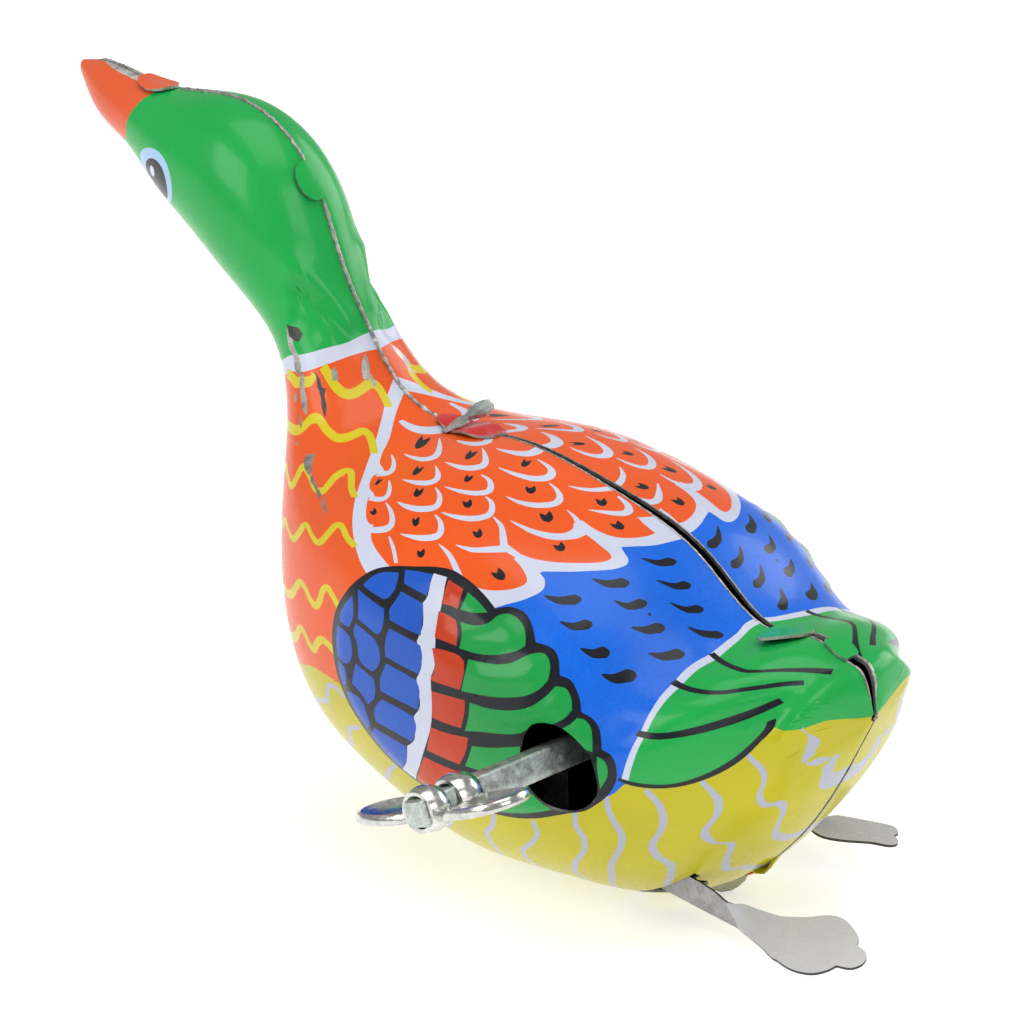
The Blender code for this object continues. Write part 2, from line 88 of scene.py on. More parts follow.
# The art is drawn on a chart of one half shell: a runs from 0 at the beak tip to A_END at the tail tip,
# b from 0 at the back seam to B_END at the belly seam
A_END, B_END = 200, 100
B_CELLS = 4                        # cells of the ring angle table in one unit of b
GRID_STEP = 1.0                    # spacing of the shells' grid along a

# Half the opening of the seam in mm: at the back, along a, and at the belly
SEAM_A = (0, 12, 20, 60, 92, 110, 125, 140, 155, 168, 176, 186, 192, 197, 200)
SEAM_BACK = (0.06, 0.06, 0.06, 0.08, 0.12, 0.3, 0.5, 0.65, 0.7, 0.4, 0.3, 0.75, 0.85, 0.6, 0.3)
SEAM_BELLY = 0.12
SEAM_FADE = 30                     # the b at which the one has passed into the other


# ---------------------------------------------------------------- the shell surface
def natural_spline(t, knots, values):
    """Natural cubic spline through the rows of values, read at each t."""
    n = len(knots)
    h = np.diff(knots)
    matrix, right = np.zeros((n, n)), np.zeros((n, values.shape[1]))
    matrix[0, 0] = matrix[-1, -1] = 1
    for i in range(1, n - 1):
        matrix[i, i - 1 : i + 2] = h[i - 1], 2 * (h[i - 1] + h[i]), h[i]
        right[i] = 6 * ((values[i + 1] - values[i]) / h[i] - (values[i] - values[i - 1]) / h[i - 1])
    bend = np.linalg.solve(matrix, right)
    i = np.clip(np.searchsorted(knots, t, side="right") - 1, 0, n - 2)
    a, b, span = (knots[i + 1] - t)[:, None], (t - knots[i])[:, None], h[i][:, None]
    curved = (a**3 * bend[i] + b**3 * bend[i + 1]) / (6 * span)
    low = values[i] / span - bend[i] * span / 6
    high = values[i + 1] / span - bend[i + 1] * span / 6
    return curved + low * a + high * b


LEVEL = STATIONS[:, 5:6]
MIDDLE = STATIONS[:, 0:2] * (1 - LEVEL) + STATIONS[:, 2:4] * LEVEL
KNOTS = np.concatenate([[0], np.cumsum(np.linalg.norm(np.diff(MIDDLE, axis=0), axis=1))])
A_MM = KNOTS[-1] / A_END           # length of one unit of a


def ring_points(a, angle):
    """Surface points at chart place a and ring angle 0 (back seam) to pi (belly seam)."""
    values = natural_spline(np.clip(a, 0, A_END) / A_END, KNOTS / KNOTS[-1], STATIONS)
    back, belly, half_width, level = values[:, 0:2], values[:, 2:4], values[:, 4], values[:, 5:6]
    middle = back * (1 - level) + belly * level
    upper = angle <= math.pi / 2
    power = np.where(upper, values[:, 6], values[:, 7])
    end = np.where(upper[:, None], back, belly)
    out = (end - middle) * (np.abs(np.cos(angle)) ** (2 / power))[:, None]
    side = half_width * np.abs(np.sin(angle)) ** (2 / power)
    return np.column_stack([side, middle + out])


def angle_table():
    """Ring angle on a grid of chart places, and half the girth at each a."""
    rows, columns = A_END + 1, B_END * B_CELLS + 1
    steps = np.linspace(0, math.pi, 721)
    table, girth = np.zeros((rows, columns)), np.zeros(rows)
    for r in range(rows):
        ring = ring_points(np.full(len(steps), float(r)), steps)
        run = np.concatenate([[0], np.cumsum(np.linalg.norm(np.diff(ring, axis=0), axis=1))])
        girth[r] = run[-1]
        table[r] = np.interp(np.linspace(0, run[-1], columns), run, steps)
    return table, girth


ANGLES, GIRTH = angle_table()


def b_mm(a):
    """Length of one unit of b at chart place a."""
    return np.interp(a, np.arange(A_END + 1), GIRTH) / B_END


def skin(a, b):
    """Points of the bare shell surface at chart places, seam opening included."""
    a, b = np.clip(a, 0, A_END), np.clip(b, 0, B_END)
    column = b * B_CELLS
    i, j = np.minimum(a.astype(int), A_END - 1), np.minimum(column.astype(int), B_END * B_CELLS - 1)
    f, g = a - i, column - j
    low = ANGLES[i, j] * (1 - f) + ANGLES[i + 1, j] * f
    high = ANGLES[i, j + 1] * (1 - f) + ANGLES[i + 1, j + 1] * f
    points = ring_points(a, low * (1 - g) + high * g)
    opening = np.interp(a, SEAM_A, SEAM_BACK)
    points[:, 0] += opening * np.clip(1 - b / SEAM_FADE, 0, 1) + SEAM_BELLY * np.clip(b / SEAM_FADE, 0, 1)
    return points


def skin_normal(a, b, surface):
    """Outward unit normals of a surface function on the chart."""
    step = 0.25
    along = surface(a + step, b) - surface(a - step, b)
    across = surface(a, np.minimum(b + step, B_END)) - surface(a, np.maximum(b - step, 0))
    normal = np.cross(across, along)
    length = np.linalg.norm(normal, axis=1, keepdims=True)
    return normal / np.maximum(length, 1e-9)


# ---------------------------------------------------------------- outlines on the chart
def smooth(points, closed=True, steps=4):
    """A smooth curve through (a, b) points; a point given as (a, b, 1) is a corner."""
    full = []
    for p in points:
        full += [p[:2]] * (2 if len(p) > 2 else 1)
    p = np.array(full, float)
    count = len(p)
    made = []
    for i in range(count if closed else count - 1):
        around = np.arange(i - 1, i + 3)
        p0, p1, p2, p3 = p[around % count if closed else around.clip(0, count - 1)]
        if np.allclose(p1, p2):
            continue
        for t in np.arange(steps) / steps:
            made.append(0.5 * (2 * p1 + (p2 - p0) * t + (2 * p0 - 5 * p1 + 4 * p2 - p3) * t**2
                               + (3 * p1 - p0 - 3 * p2 + p3) * t**3))
    if not closed:
        made.append(p[-1])
    return np.array(made)


def ribbon(points, widths, steps=4):
    """Outline of a brush stroke: a smooth centre line with half widths in mm at its points."""
    line = smooth(points, closed=False, steps=steps)
    share = np.linspace(0, 1, len(line))
    half = np.interp(share, np.linspace(0, 1, len(widths)), widths)
    scale = np.column_stack([np.full(len(line), A_MM), b_mm(line[:, 0])])
    run = np.gradient(line * scale, axis=0)
    run /= np.maximum(np.linalg.norm(run, axis=1, keepdims=True), 1e-9)
    offset = np.column_stack([-run[:, 1], run[:, 0]]) * half[:, None] / scale
    return np.concatenate([line + offset, (line - offset)[::-1]])


def turned(points, centre, angle, size_mm):
    """A small figure, drawn in its own unit frame, put on the chart at a size in mm and an angle."""
    c, s = math.cos(math.radians(angle)), math.sin(math.radians(angle))
    p = np.array(points, float) * size_mm
    x, y = p[:, 0] * c - p[:, 1] * s, p[:, 0] * s + p[:, 1] * c
    return np.column_stack([centre[0] + x / A_MM, centre[1] + y / b_mm(centre[0])])


def oval(a, b, half_a, half_b, count=28):
    """An ellipse of the chart round (a, b)."""
    t = np.arange(count) * 2 * math.pi / count
    return np.column_stack([a + half_a * np.cos(t), b + half_b * np.sin(t)])


def heart(a, b, length, width, angle):
    """A heart lying on its side: the rounded tip ahead, two horns and a notch behind."""
    shape = smooth([(-0.5, -0.42, 1), (-0.1, -0.5), (0.3, -0.38), (0.5, 0.0), (0.3, 0.38), (-0.1, 0.5),
                    (-0.5, 0.42, 1), (-0.18, 0.05, 1)], steps=3)
    stretched = np.column_stack([shape[:, 0], shape[:, 1] * width / length])
    return turned(stretched, (a, b), angle, length)


def teardrop(head, bend, tail, radius):
    """A comma: round at the head, tapering through the bend to a point at the tail."""
    a0, b0 = head
    a1, b1 = bend
    start = (a0 + (a0 - a1) * 0.45, b0 + (b0 - b1) * 0.45)
    return ribbon([start, head, bend, tail], (0.25 * radius, radius, 0.72 * radius, 0.06), steps=5)


def edge_band(left, right):
    """A band between two lines that both run from the back seam to the belly."""
    return np.concatenate([smooth(left, closed=False), smooth(right, closed=False)[::-1]])


# ---------------------------------------------------------------- the printed art
# Crescents of the cape feathers: centre line points, then half widths in mm
CRESCENTS = (
    (((88.7, 10.7), (90.6, 10.2), (92.3, 8.8), (93.5, 6.6), (94, 3.5)), (0.3, 0.62, 0.85, 0.95, 0.8)),
    (((96, 8.6), (98, 11.2), (99.7, 13.6), (100.4, 15.5), (99.6, 17.3), (97.8, 18.3), (96, 18.8)),
     (0.05, 0.27, 0.38, 0.52, 0.5, 0.3, 0.05)),
    (((100.6, -1), (101.7, 2.2), (102.6, 4.5), (102, 6.2), (100.3, 7), (98.6, 7)),
     (0.4, 0.45, 0.55, 0.62, 0.45, 0.1)),
    (((109.9, -1), (110.5, 1.6), (110.3, 3.1), (109.3, 4.2), (107.6, 5.1), (105.6, 5.6)),
     (0.6, 0.75, 0.75, 0.65, 0.4, 0.05)),
    (((112.7, 3.4), (114.5, 3.5), (116.3, 3.9), (117.6, 5), (117.9, 6.4), (116.8, 8), (114.5, 9.2),
     (112.5, 9.8), (110.6, 10.2)), (0.05, 0.27, 0.4, 0.58, 0.68, 0.6, 0.42, 0.25, 0.04)),
    (((119.4, 7), (121.5, 7.3), (123.5, 8.2), (124.5, 9.4), (124.3, 10.8), (122.8, 12.5), (120.5, 13.7),
     (117.7, 14.3)), (0.05, 0.27, 0.4, 0.55, 0.6, 0.52, 0.33, 0.04)),
    (((103.8, 7), (106, 8.8), (107.9, 10.6), (108.4, 12), (107.6, 13.6), (105.9, 14.7), (103.1, 15.3)),
     (0.05, 0.27, 0.42, 0.58, 0.6, 0.42, 0.05)),
    (((110.3, 13.6), (112.3, 13.6), (114, 14.5), (114.7, 15.7), (113.6, 17.3), (111.5, 18.7),
     (108.7, 19.9)), (0.06, 0.27, 0.4, 0.5, 0.44, 0.32, 0.04)),
    (((115.5, 16.6), (117.3, 16.8), (119, 17.9), (119.5, 19.2), (118.3, 21), (116, 22.5), (113.4, 23.6)),
     (0.06, 0.28, 0.4, 0.5, 0.48, 0.32, 0.04)),
    (((102.8, 17.3), (104.8, 18.4), (106.1, 19.6), (106, 21.1), (104.5, 22.6), (101.8, 24.1)),
     (0.05, 0.28, 0.42, 0.5, 0.42, 0.04)),
    (((107.8, 21.1), (109.9, 21.7), (111.5, 23), (111.5, 24.2), (110, 25.9), (108, 27.1), (106, 27.8)),
     (0.05, 0.27, 0.42, 0.5, 0.48, 0.36, 0.05)),
    (((113, 24.6), (115, 24.8), (116.8, 25.8), (117.1, 27), (115.4, 28.8), (112.2, 30.8)),
     (0.05, 0.27, 0.42, 0.52, 0.42, 0.04)),
    (((118.9, 27.4), (121.5, 27.5), (124, 28.1), (127.5, 29.3)), (0.05, 0.26, 0.33, 0.36)),
    (((120.4, 18.6), (123, 19), (125.3, 20.2), (127.4, 21.5)), (0.06, 0.28, 0.4, 0.45)),
    (((128, 21.6), (126.1, 23.2), (124, 24.8), (121.1, 25.8)), (0.6, 0.5, 0.36, 0.05)),
    (((127, 21.5), (131, 21.4), (136.6, 21.5)), (0.55, 0.36, 0.3)),
    (((127.3, 9.8), (130, 10.2), (132.7, 11.4), (133.3, 13.2), (131.5, 15.3), (128, 16.7), (123.2, 17.4)),
     (0.05, 0.28, 0.55, 0.75, 0.62, 0.4, 0.04)),
    (((127, -1), (125.9, 2), (124.3, 3.9), (122, 5.2)), (0.6, 0.5, 0.36, 0.04)),
    (((129.3, 0.9), (132, 1.3), (133.7, 2.4), (133.8, 3.7), (132.3, 5.3), (129.5, 7.3)),
     (0.2, 0.42, 0.6, 0.62, 0.46, 0.04)),
    (((94.7, 21.1), (96.5, 22.1), (98, 23.5), (98.5, 25), (97.4, 26.8)), (0.05, 0.24, 0.34, 0.44, 0.5)),
    (((100.3, 26.1), (102.2, 27.2), (103.5, 28.6), (103.2, 29.9), (101.6, 31.3)),
     (0.07, 0.27, 0.36, 0.42, 0.4)),
    (((104.5, 29.5), (106.8, 29.7), (109, 30.6), (109.6, 31.8), (108.8, 33.2), (107.6, 34.6)),
     (0.05, 0.27, 0.4, 0.52, 0.46, 0.4)),
    (((111.2, 32.5), (113.5, 33), (116.4, 34.1)), (0.1, 0.26, 0.24)),
)
# Hearts: place, length and width in mm, direction of the tip in degrees
HEARTS = (
    (95.2, 12.8, 3.1, 1.3, 62), (104.3, 10.4, 2.6, 1.05, 64), (112.4, 5.8, 2, 1, 62),
    (119, 10.4, 1.7, 1.25, 35), (126.6, 13.1, 2.2, 1.5, 25), (129.1, 4.2, 1.9, 1.35, 30),
    (109.7, 15.8, 1.5, 0.95, 58), (114.9, 19.6, 1.5, 1.1, 25), (121.8, 22.3, 1.6, 1.05, 20),
    (101.7, 20.5, 2, 1, 60), (106.7, 23.9, 1.6, 1.1, 50), (112, 27.6, 1.5, 0.9, 30),
    (99.2, 27.9, 1.3, 0.6, 65), (104.8, 32.3, 1.05, 0.8, 0), (118.1, 30.3, 1.3, 1, 30),
    (136.1, 6.6, 2, 1.45, 5), (134.2, 16.3, 1.75, 1.25, 15), (131.7, 25.4, 2.2, 1.25, 8),
)
# Rows of drops on the blue back: head, bend, tail, radius in mm
DROPS = (
    ((147.9, 5.5), (147.1, 7.5), (144.8, 9), 0.7), ((152.7, 6.4), (152, 8.3), (149.8, 10), 0.62),
    ((157.1, 7.7), (156.3, 9.6), (154.1, 11), 0.62), ((162.9, 8.9), (161.4, 10.6), (159, 11.8), 0.75),
    ((147.3, 14.6), (146, 16.4), (143.6, 17.4), 0.8), ((151.9, 14.9), (151.2, 16.8), (149.1, 17.8), 0.68),
    ((156.7, 15.7), (155.9, 17.6), (154.2, 19), 0.75), ((162.3, 17.1), (161.2, 19.1), (159.2, 20.3), 0.92),
    ((145, 21.7), (143.4, 23.2), (140.9, 24), 0.8), ((149.7, 23.4), (148.6, 24.9), (146.5, 25.6), 0.7),
    ((154.9, 24.8), (153.9, 26.1), (152, 26.7), 0.78), ((160.3, 25.2), (159.2, 27), (157.2, 27.8), 0.98),
)
# Black streaks of the tail feathers: centre line, half widths in mm
STREAKS = (
    (((165.6, 12.9), (170, 14.4), (174, 15.7), (177, 16.4), (180, 15.5), (183.5, 13), (187, 10),
     (190, 7.3)), (0.4, 0.38, 0.37, 0.37, 0.37, 0.42, 0.58, 0.75)),
    (((166.2, 22.2), (170, 22.9), (175, 23.5), (178.5, 23), (182, 20.8), (185, 18), (187.9, 15.5)),
     (0.45, 0.4, 0.42, 0.45, 0.45, 0.46, 0.5)),
    (((169.4, 34.2), (174, 34.6), (178.5, 33.5), (182, 31), (185, 27.3), (187.3, 23)),
     (0.4, 0.55, 0.68, 0.7, 0.66, 0.6)),
    (((171.5, 44.5), (175, 45.9), (179.8, 46.8), (183.5, 45.2), (186.3, 41.5), (187.9, 36.5), (188.6, 32.5),
     (188.1, 29.6)), (0.2, 0.34, 0.42, 0.5, 0.5, 0.45, 0.55, 0.45)),
)
# Yellow waves of the breast
WAVES = (
    ((85.6, 10.6), (83.6, 9.6), (81.8, 9.9), (81.1, 12.5), (81.3, 16), (81.4, 20), (80.9, 23.5),
     (79.4, 26.5), (77.2, 28.6), (75.6, 29.9)),
    ((75.7, 35.4), (76.2, 38), (75.6, 42), (75, 45), (74.4, 48), (73.2, 51), (72.2, 53.5), (71.4, 57)),
    ((92.6, 24.3), (90.4, 22.9), (88.7, 22.3), (87.6, 23.3), (87.4, 26), (87.2, 29), (86.4, 32),
     (84.4, 34.8), (82.3, 37), (81.4, 40.5), (81.6, 44), (81.6, 48), (80.9, 52), (79.9, 56), (78.8, 61),
     (78, 66), (77.9, 72), (78, 80), (77.5, 90), (77, 101)),
    ((99.4, 33.8), (97, 33.5), (95.2, 32.5), (93.8, 32), (93, 33.4), (92.9, 36), (93.6, 38.6), (93.9, 40.6),
     (92.6, 42.8), (90.4, 43.9), (88.5, 45.4), (87.8, 47.6), (88.4, 50), (89.1, 52.2), (88.7, 54.7),
     (87.2, 57), (85.6, 59.5), (84.9, 62.5), (85.4, 67), (86.8, 72), (86.9, 78), (85.6, 85), (86.4, 92),
     (86, 101)),
    ((108.3, 38.5), (105.8, 39.2), (103.2, 39.2), (102.1, 40.5), (102.3, 43), (102.5, 45), (101.7, 46.8),
     (99.6, 47.8), (98, 48.4), (97.4, 50), (97.7, 52.2), (97.8, 54.2), (96.8, 56.2), (95, 57.8), (93.6, 60),
     (93.6, 65), (95, 70), (94.6, 77), (93.6, 85), (94.6, 93), (94, 101)),
    ((114.6, 47.9), (112.2, 48), (110.3, 48.4), (109.8, 49.8), (110.6, 51.6), (110.6, 53.2), (109, 54.2),
     (107, 54.6), (105.4, 55.7), (105, 57.6), (105.2, 60), (104.4, 63), (102.6, 66.5), (102.8, 72),
     (101.6, 80), (102.4, 90), (102, 101)),
    ((119, 54.3), (116.9, 54.8), (115.4, 55.9), (115.1, 57.6), (115.2, 59.2), (113.9, 60), (111.8, 60.2),
     (110.6, 61.6), (110.6, 64.5), (109.4, 69), (108, 75), (108.6, 84), (106.4, 92), (106.8, 101)),
)
# White waves of the belly
RIPPLES = (
    ((124.8, 59.8), (122.4, 59.8), (120.9, 61.2), (121.3, 63.2), (121.7, 65.2), (120.7, 67), (119.6, 69),
     (119.6, 74), (117.6, 79), (117.4, 85), (115, 92), (115, 101)),
    ((129, 62.9), (127.6, 65), (127.1, 67), (127.6, 69.2), (127.5, 71.4), (126.6, 74), (126, 77),
     (124.8, 80), (122.8, 83), (122, 89), (120, 95), (120, 101)),
    ((137, 64.6), (136, 67.4), (135.4, 70.4), (134.4, 74), (133.6, 78), (131.2, 82), (130.4, 88), (128, 94),
     (127.6, 101)),
    ((148.6, 62.6), (147.6, 66), (148, 70), (146.4, 75), (145.4, 80), (143, 86), (141.4, 93), (140.4, 101)),
    ((155.4, 60.4), (155.6, 63.4), (154.6, 67), (155.4, 71), (155.6, 75.6), (154, 81), (153, 87), (151, 94),
     (150.6, 101)),
    ((161.4, 58), (162.6, 61), (161.9, 64.6), (160.4, 68.4), (160.6, 73), (160.8, 78), (159.6, 84),
     (158.4, 91), (158, 101)),
    ((167.2, 53.2), (168, 56.4), (169.6, 59.6), (169.9, 63.6), (168.6, 68), (167.9, 73), (168.4, 79),
     (167.4, 86), (166.6, 93), (166.6, 101)),
    ((170.9, 48.4), (172.2, 52), (173.8, 55.6), (175, 59), (174.8, 63.4), (173.7, 68), (173.3, 73),
     (172.2, 79), (172, 86), (171.2, 94), (171.2, 101)),
    ((176.4, 47.2), (178.6, 50.6), (179.7, 54.6), (179.8, 58.6), (178.9, 63), (179.6, 67.6), (180.8, 72),
     (180.2, 77), (179, 82), (179.2, 89), (178.6, 101)),
    ((183, 46.4), (184.6, 50), (185.7, 54), (185.8, 58.6), (184.6, 63.6), (185.6, 69), (187.3, 74),
     (186.4, 79), (185.6, 85), (186.8, 91), (186.4, 101)),
    ((187.5, 40.6), (189.6, 45), (191, 49.4), (191.5, 54), (191, 59), (191.8, 65), (193.8, 71), (193.8, 77),
     (192, 83), (191.8, 90), (192.4, 101)),
    ((195.9, 38.5), (196.8, 44), (197.2, 50), (196.9, 58), (197.6, 66), (198, 76), (197.2, 86),
     (197.4, 101)),
)
# The wing: its outline, the blue scales, the white line, the red blocks and the green feathers
WING = (
    (124.9, 29), (128, 28.7), (131, 28.8), (134, 29.2), (136.6, 29.7, 1), (138.2, 28.3), (140.5, 27.7),
    (142.5, 28), (144.5, 28.9), (146.4, 30.1, 1), (148.9, 29.3), (150.9, 29.9), (152.9, 31.7, 1),
    (154.6, 31.3), (156.4, 32), (158, 33.1), (159.2, 34.4, 1), (161.2, 34.4), (163.2, 35.3), (164.8, 37),
    (166.1, 38.8, 1), (168, 39.3), (169.8, 41), (171, 43.5), (171.4, 46), (171, 48.5), (169.9, 50.6),
    (168.6, 52.4), (166.6, 53.5), (164.6, 54.9), (162, 57), (159, 58.8), (156, 60), (152, 61.6),
    (147.5, 63.1), (143.5, 63.9), (140, 64.2), (137, 64.2), (134, 63.7), (131, 62.6), (128.5, 61.4),
    (126, 60.2), (123.5, 58.6), (121, 56.8), (118.7, 54.7), (116.7, 52.7), (115, 50.3), (114, 48),
    (113.5, 45), (113.5, 42), (114, 38.9), (115.1, 36.5), (117.1, 34.2), (119.7, 32.1), (122.1, 30.3),
)
SCALES = (
    ((123.3, 31.3, 1), (124.6, 32.6), (125.8, 34.2, 1), (123.6, 34.6), (121, 35.1, 1), (118.8, 33.7, 1),
     (120.9, 32.4)),
    ((118.4, 34.7, 1), (119.6, 35.5), (120.6, 36.9), (120.8, 38.4), (120.3, 39.2, 1), (118, 39.9),
     (115.3, 40.7, 1), (115.4, 38.3), (116.4, 36.4)),
    ((121.7, 36.3, 1), (124, 35.8), (126.4, 35.4, 1), (128.2, 37), (130.2, 39.3, 1), (127.5, 40),
     (123.8, 40.8, 1), (122.5, 39.6), (122.2, 38)),
    ((115.1, 41.9, 1), (118.2, 41), (121.7, 40.2, 1), (123.1, 41.7), (123.9, 43.3), (123.7, 44.3, 1),
     (121.4, 44.6), (119, 45.1, 1), (117.4, 43.3)),
    ((124.8, 41.9, 1), (128, 41.1), (131.3, 40.6, 1), (133, 42), (134.2, 44.5, 1), (131, 45.3),
     (127.3, 46.1, 1), (126.1, 44.7), (125.3, 43.3)),
    ((115.2, 43.5, 1), (116.8, 44.4), (118.1, 45.8), (118.7, 47.7, 1), (116.9, 48.6), (115.7, 48.3, 1),
     (115.1, 46)),
    ((119.3, 46.1, 1), (121.5, 45.5), (124, 45.2, 1), (125.7, 46), (126.9, 47.4), (127.2, 49),
     (126.8, 50.1, 1), (124.9, 50.4), (123.5, 50.1), (121.8, 48.5), (119.9, 47.5)),
    ((128.1, 47, 1), (131, 46.3), (134.3, 45.7, 1), (136, 46.9), (137.3, 49.9, 1), (134, 50.7),
     (130, 51.8, 1), (128.8, 50.2), (128.4, 48.4)),
    ((116.6, 49.8, 1), (118.2, 49), (119.9, 48.7, 1), (121.4, 49.9), (122.4, 51.4), (122.3, 52.8),
     (121.6, 53.4, 1), (119.7, 53.7, 1), (117.9, 51.8)),
    ((131, 52.9, 1), (134, 52.1), (137.3, 51.4, 1), (138.7, 53), (139, 55.8, 1), (135.5, 56.6),
     (131.7, 57.6, 1), (130.6, 56), (130.6, 54.3)),
    ((123.6, 51.4, 1), (125.8, 51.1), (127.7, 50.9, 1), (129.1, 52.4), (129.6, 54.2), (129.1, 55.9, 1),
     (127.6, 55.2), (124.9, 55, 1), (124.2, 53.2)),
    ((120.3, 54.4, 1), (122.1, 53.9), (123.3, 54.9), (123.9, 56.3), (123.5, 57.3, 1), (121.8, 56)),
    ((131.9, 59.1, 1), (135, 58.3), (138.3, 57.5, 1), (139.2, 60), (138.7, 63.2, 1), (135.8, 63),
     (132.3, 61.6, 1), (131.8, 60.3)),
    ((125, 57, 1), (127, 56.2), (128.6, 56.6, 1), (131.1, 59.3, 1), (130.7, 60.7, 1), (128.2, 60),
     (124.7, 57.9, 1)),
)
WHITE_LINE = (
    (123.2, 31.1, 1), (125.6, 30.3, 1), (127.5, 32.1), (129.2, 33.9), (130.6, 35.7), (132.4, 37.9),
    (134.2, 39.9), (135.8, 41.9), (136.4, 43.7), (138.4, 46.4), (139.9, 48.8), (140.8, 51), (141.3, 53.6),
    (141.6, 57), (141.7, 60), (141.4, 63.6, 1), (138.6, 63.7, 1), (139.3, 60.5), (138.5, 57.2, 1),
    (139.2, 54.8), (137.3, 51.2, 1), (137.3, 48.8), (134.3, 45.5, 1), (133.6, 42.9), (130.3, 40.4, 1),
    (129.2, 37.8), (126.3, 35.3, 1), (125.9, 34),
)
BLOCKS = (
    ((126.2, 30.4, 1), (129.6, 30.2, 1), (130.7, 31.4), (131.9, 32.9, 1), (130.3, 33.2), (128.9, 33.7, 1),
     (127.7, 32.1)),
    ((129.6, 34.8, 1), (131.6, 34.4), (133.3, 34.3, 1), (134.9, 35.4), (136.6, 37.2, 1), (134.5, 37.7),
     (132.4, 38.2, 1), (131, 36.4)),
    ((133.3, 39.7, 1), (135.4, 38.8), (138, 38.1), (139.6, 38.4, 1), (140.9, 40), (141.9, 42.3, 1),
     (139.2, 43.2), (136.5, 44.1, 1), (135.9, 41.9)),
    ((137.7, 45.5, 1), (140, 44.6), (143.6, 43.2, 1), (144.6, 44.9), (145.4, 47.6, 1), (143, 48.5),
     (140.1, 49.3, 1), (139, 47.2)),
    ((140.8, 50.9, 1), (143.6, 50), (147.2, 48.3, 1), (147.9, 50.6), (147.9, 53.6, 1), (145, 54.4),
     (141.9, 55.2, 1), (141.4, 53)),
    ((141.9, 56.8, 1), (145, 56), (148.6, 54.9, 1), (147.8, 57.6), (146.2, 62.7, 1), (141.8, 63.6, 1)),
)
FEATHERS = (
    ((130.7, 30.2, 1), (133.2, 30.3), (136.3, 30.8, 1), (134.6, 32), (132.4, 32.7, 1), (131.6, 31.4)),
    ((134.1, 34.1, 1), (136.8, 33.2), (138.1, 31.8), (138.2, 30.2), (139.6, 29.1), (142.2, 29.1),
     (144.4, 30.2), (145.7, 31.4, 1), (145.2, 32.8), (143, 34.9), (140.3, 36.3), (137.3, 37.2, 1),
     (136, 35.4)),
    ((139.9, 37.7, 1), (142.2, 36.8), (144.5, 35.7), (146.2, 34.2), (147.3, 31.9), (148.6, 30.7),
     (149.9, 30.8), (151.2, 31.8), (152.2, 33.3, 1), (152.2, 34.9), (151.4, 36.7), (149.9, 38.2),
     (147.6, 39.8), (145, 41.1), (142.2, 42.3, 1), (141.1, 39.9)),
    ((144.5, 43, 1), (147.8, 41.9), (150.8, 40.1), (152.8, 37.9), (153.6, 35.4), (153.7, 33.3, 1),
     (155, 32.7), (156.6, 33.4), (158, 34.9, 1), (157.9, 36.7), (156.8, 38.6), (154.6, 41), (153.6, 42.7),
     (151, 44.6), (148.6, 46), (146.2, 47.6, 1), (145.6, 45.2)),
    ((159.4, 35.5, 1), (160.6, 35.2), (162.2, 35.9), (163.7, 37.6), (165, 39.6, 1), (161.8, 39.4),
     (158.4, 38.6, 1), (159.2, 37)),
    ((148.4, 49.2, 1), (150.8, 47.7), (153.2, 45.8), (155, 44.3, 1), (157.4, 47, 1), (152.5, 51.6),
     (148.8, 53.2, 1), (148.7, 51.2)),
    ((166.2, 40.2, 1), (167.6, 40.6), (169, 42.1), (169.7, 44.2), (169.5, 46.6, 1), (168.6, 44.5),
     (167.5, 42.4)),
    ((149.4, 56, 1), (152.5, 54.5), (156, 52), (159, 49.6, 1), (162, 52.4), (163.7, 53.6, 1), (161.5, 55.4),
     (159, 57.2), (156, 58.9), (152, 60.5), (147.6, 62.2, 1), (148.9, 59)),
)
KEY_OPENING = (
    (154.6, 40.2), (155.9, 38.8), (158, 38.1), (160.2, 38.2), (162.4, 38.9), (164.6, 40.1), (166.6, 42),
    (168.2, 44.4), (169.3, 47.2), (169.4, 49.8), (168.5, 52), (166.8, 53.4), (164.4, 53.5), (161.9, 52.6),
    (159.4, 51), (157.2, 48.6), (155.4, 45.4), (154.5, 42.5),
)
# Bare metal where the print is chipped or scraped off
CHIPS = (
    ((86.2, 44.6, 1), (86.6, 42.2), (87, 40.9, 1), (87.7, 42.2), (89, 43), (90, 44, 1), (88.6, 45.6),
     (87, 46.3)),
    ((89.6, 43.4, 1), (92, 42.2), (94.6, 41.2, 1), (94.9, 42.4, 1), (92.4, 43), (90.6, 44.2)),
    ((95.2, 40.7, 1), (98.6, 41.4, 1), (97.4, 42.1), (95.6, 41.6)),
    ((73.6, 42.6, 1), (75, 41.6), (76.6, 42.4), (78.2, 41.8), (80.4, 42.8, 1), (79.4, 44.8), (77, 45.8),
     (75, 45)),
    ((66, 46.6, 1), (67.6, 44.6), (69.6, 44.4), (71.4, 42.8), (73.2, 42.6, 1), (74, 45), (72.4, 47.6),
     (70.6, 47), (69, 49), (67.2, 48.6, 1)),
    ((76.6, 24.8, 1), (77.6, 24.2), (78.6, 25), (78.2, 27.2, 1), (77, 26.8)),
    ((77.4, 33.9, 1), (78.2, 33.4), (78.8, 34.4), (78, 35.2)),
    ((77, 8, 1), (78.8, 8.8), (80.6, 12), (80, 14.2, 1), (78.2, 12.2)),
    ((79.8, 10, 1), (81.4, 9.6), (82, 11.4, 1), (80.8, 11.4)),
    ((75.6, 48.6, 1), (76.8, 48.4), (77, 51.6, 1), (76, 50.8)),
    ((79.4, 46.4, 1), (81.2, 46), (81.6, 47, 1), (80.2, 47.6)),
    ((82.8, 49.2, 1), (83.6, 49.6), (83.3, 51.2, 1)),
)
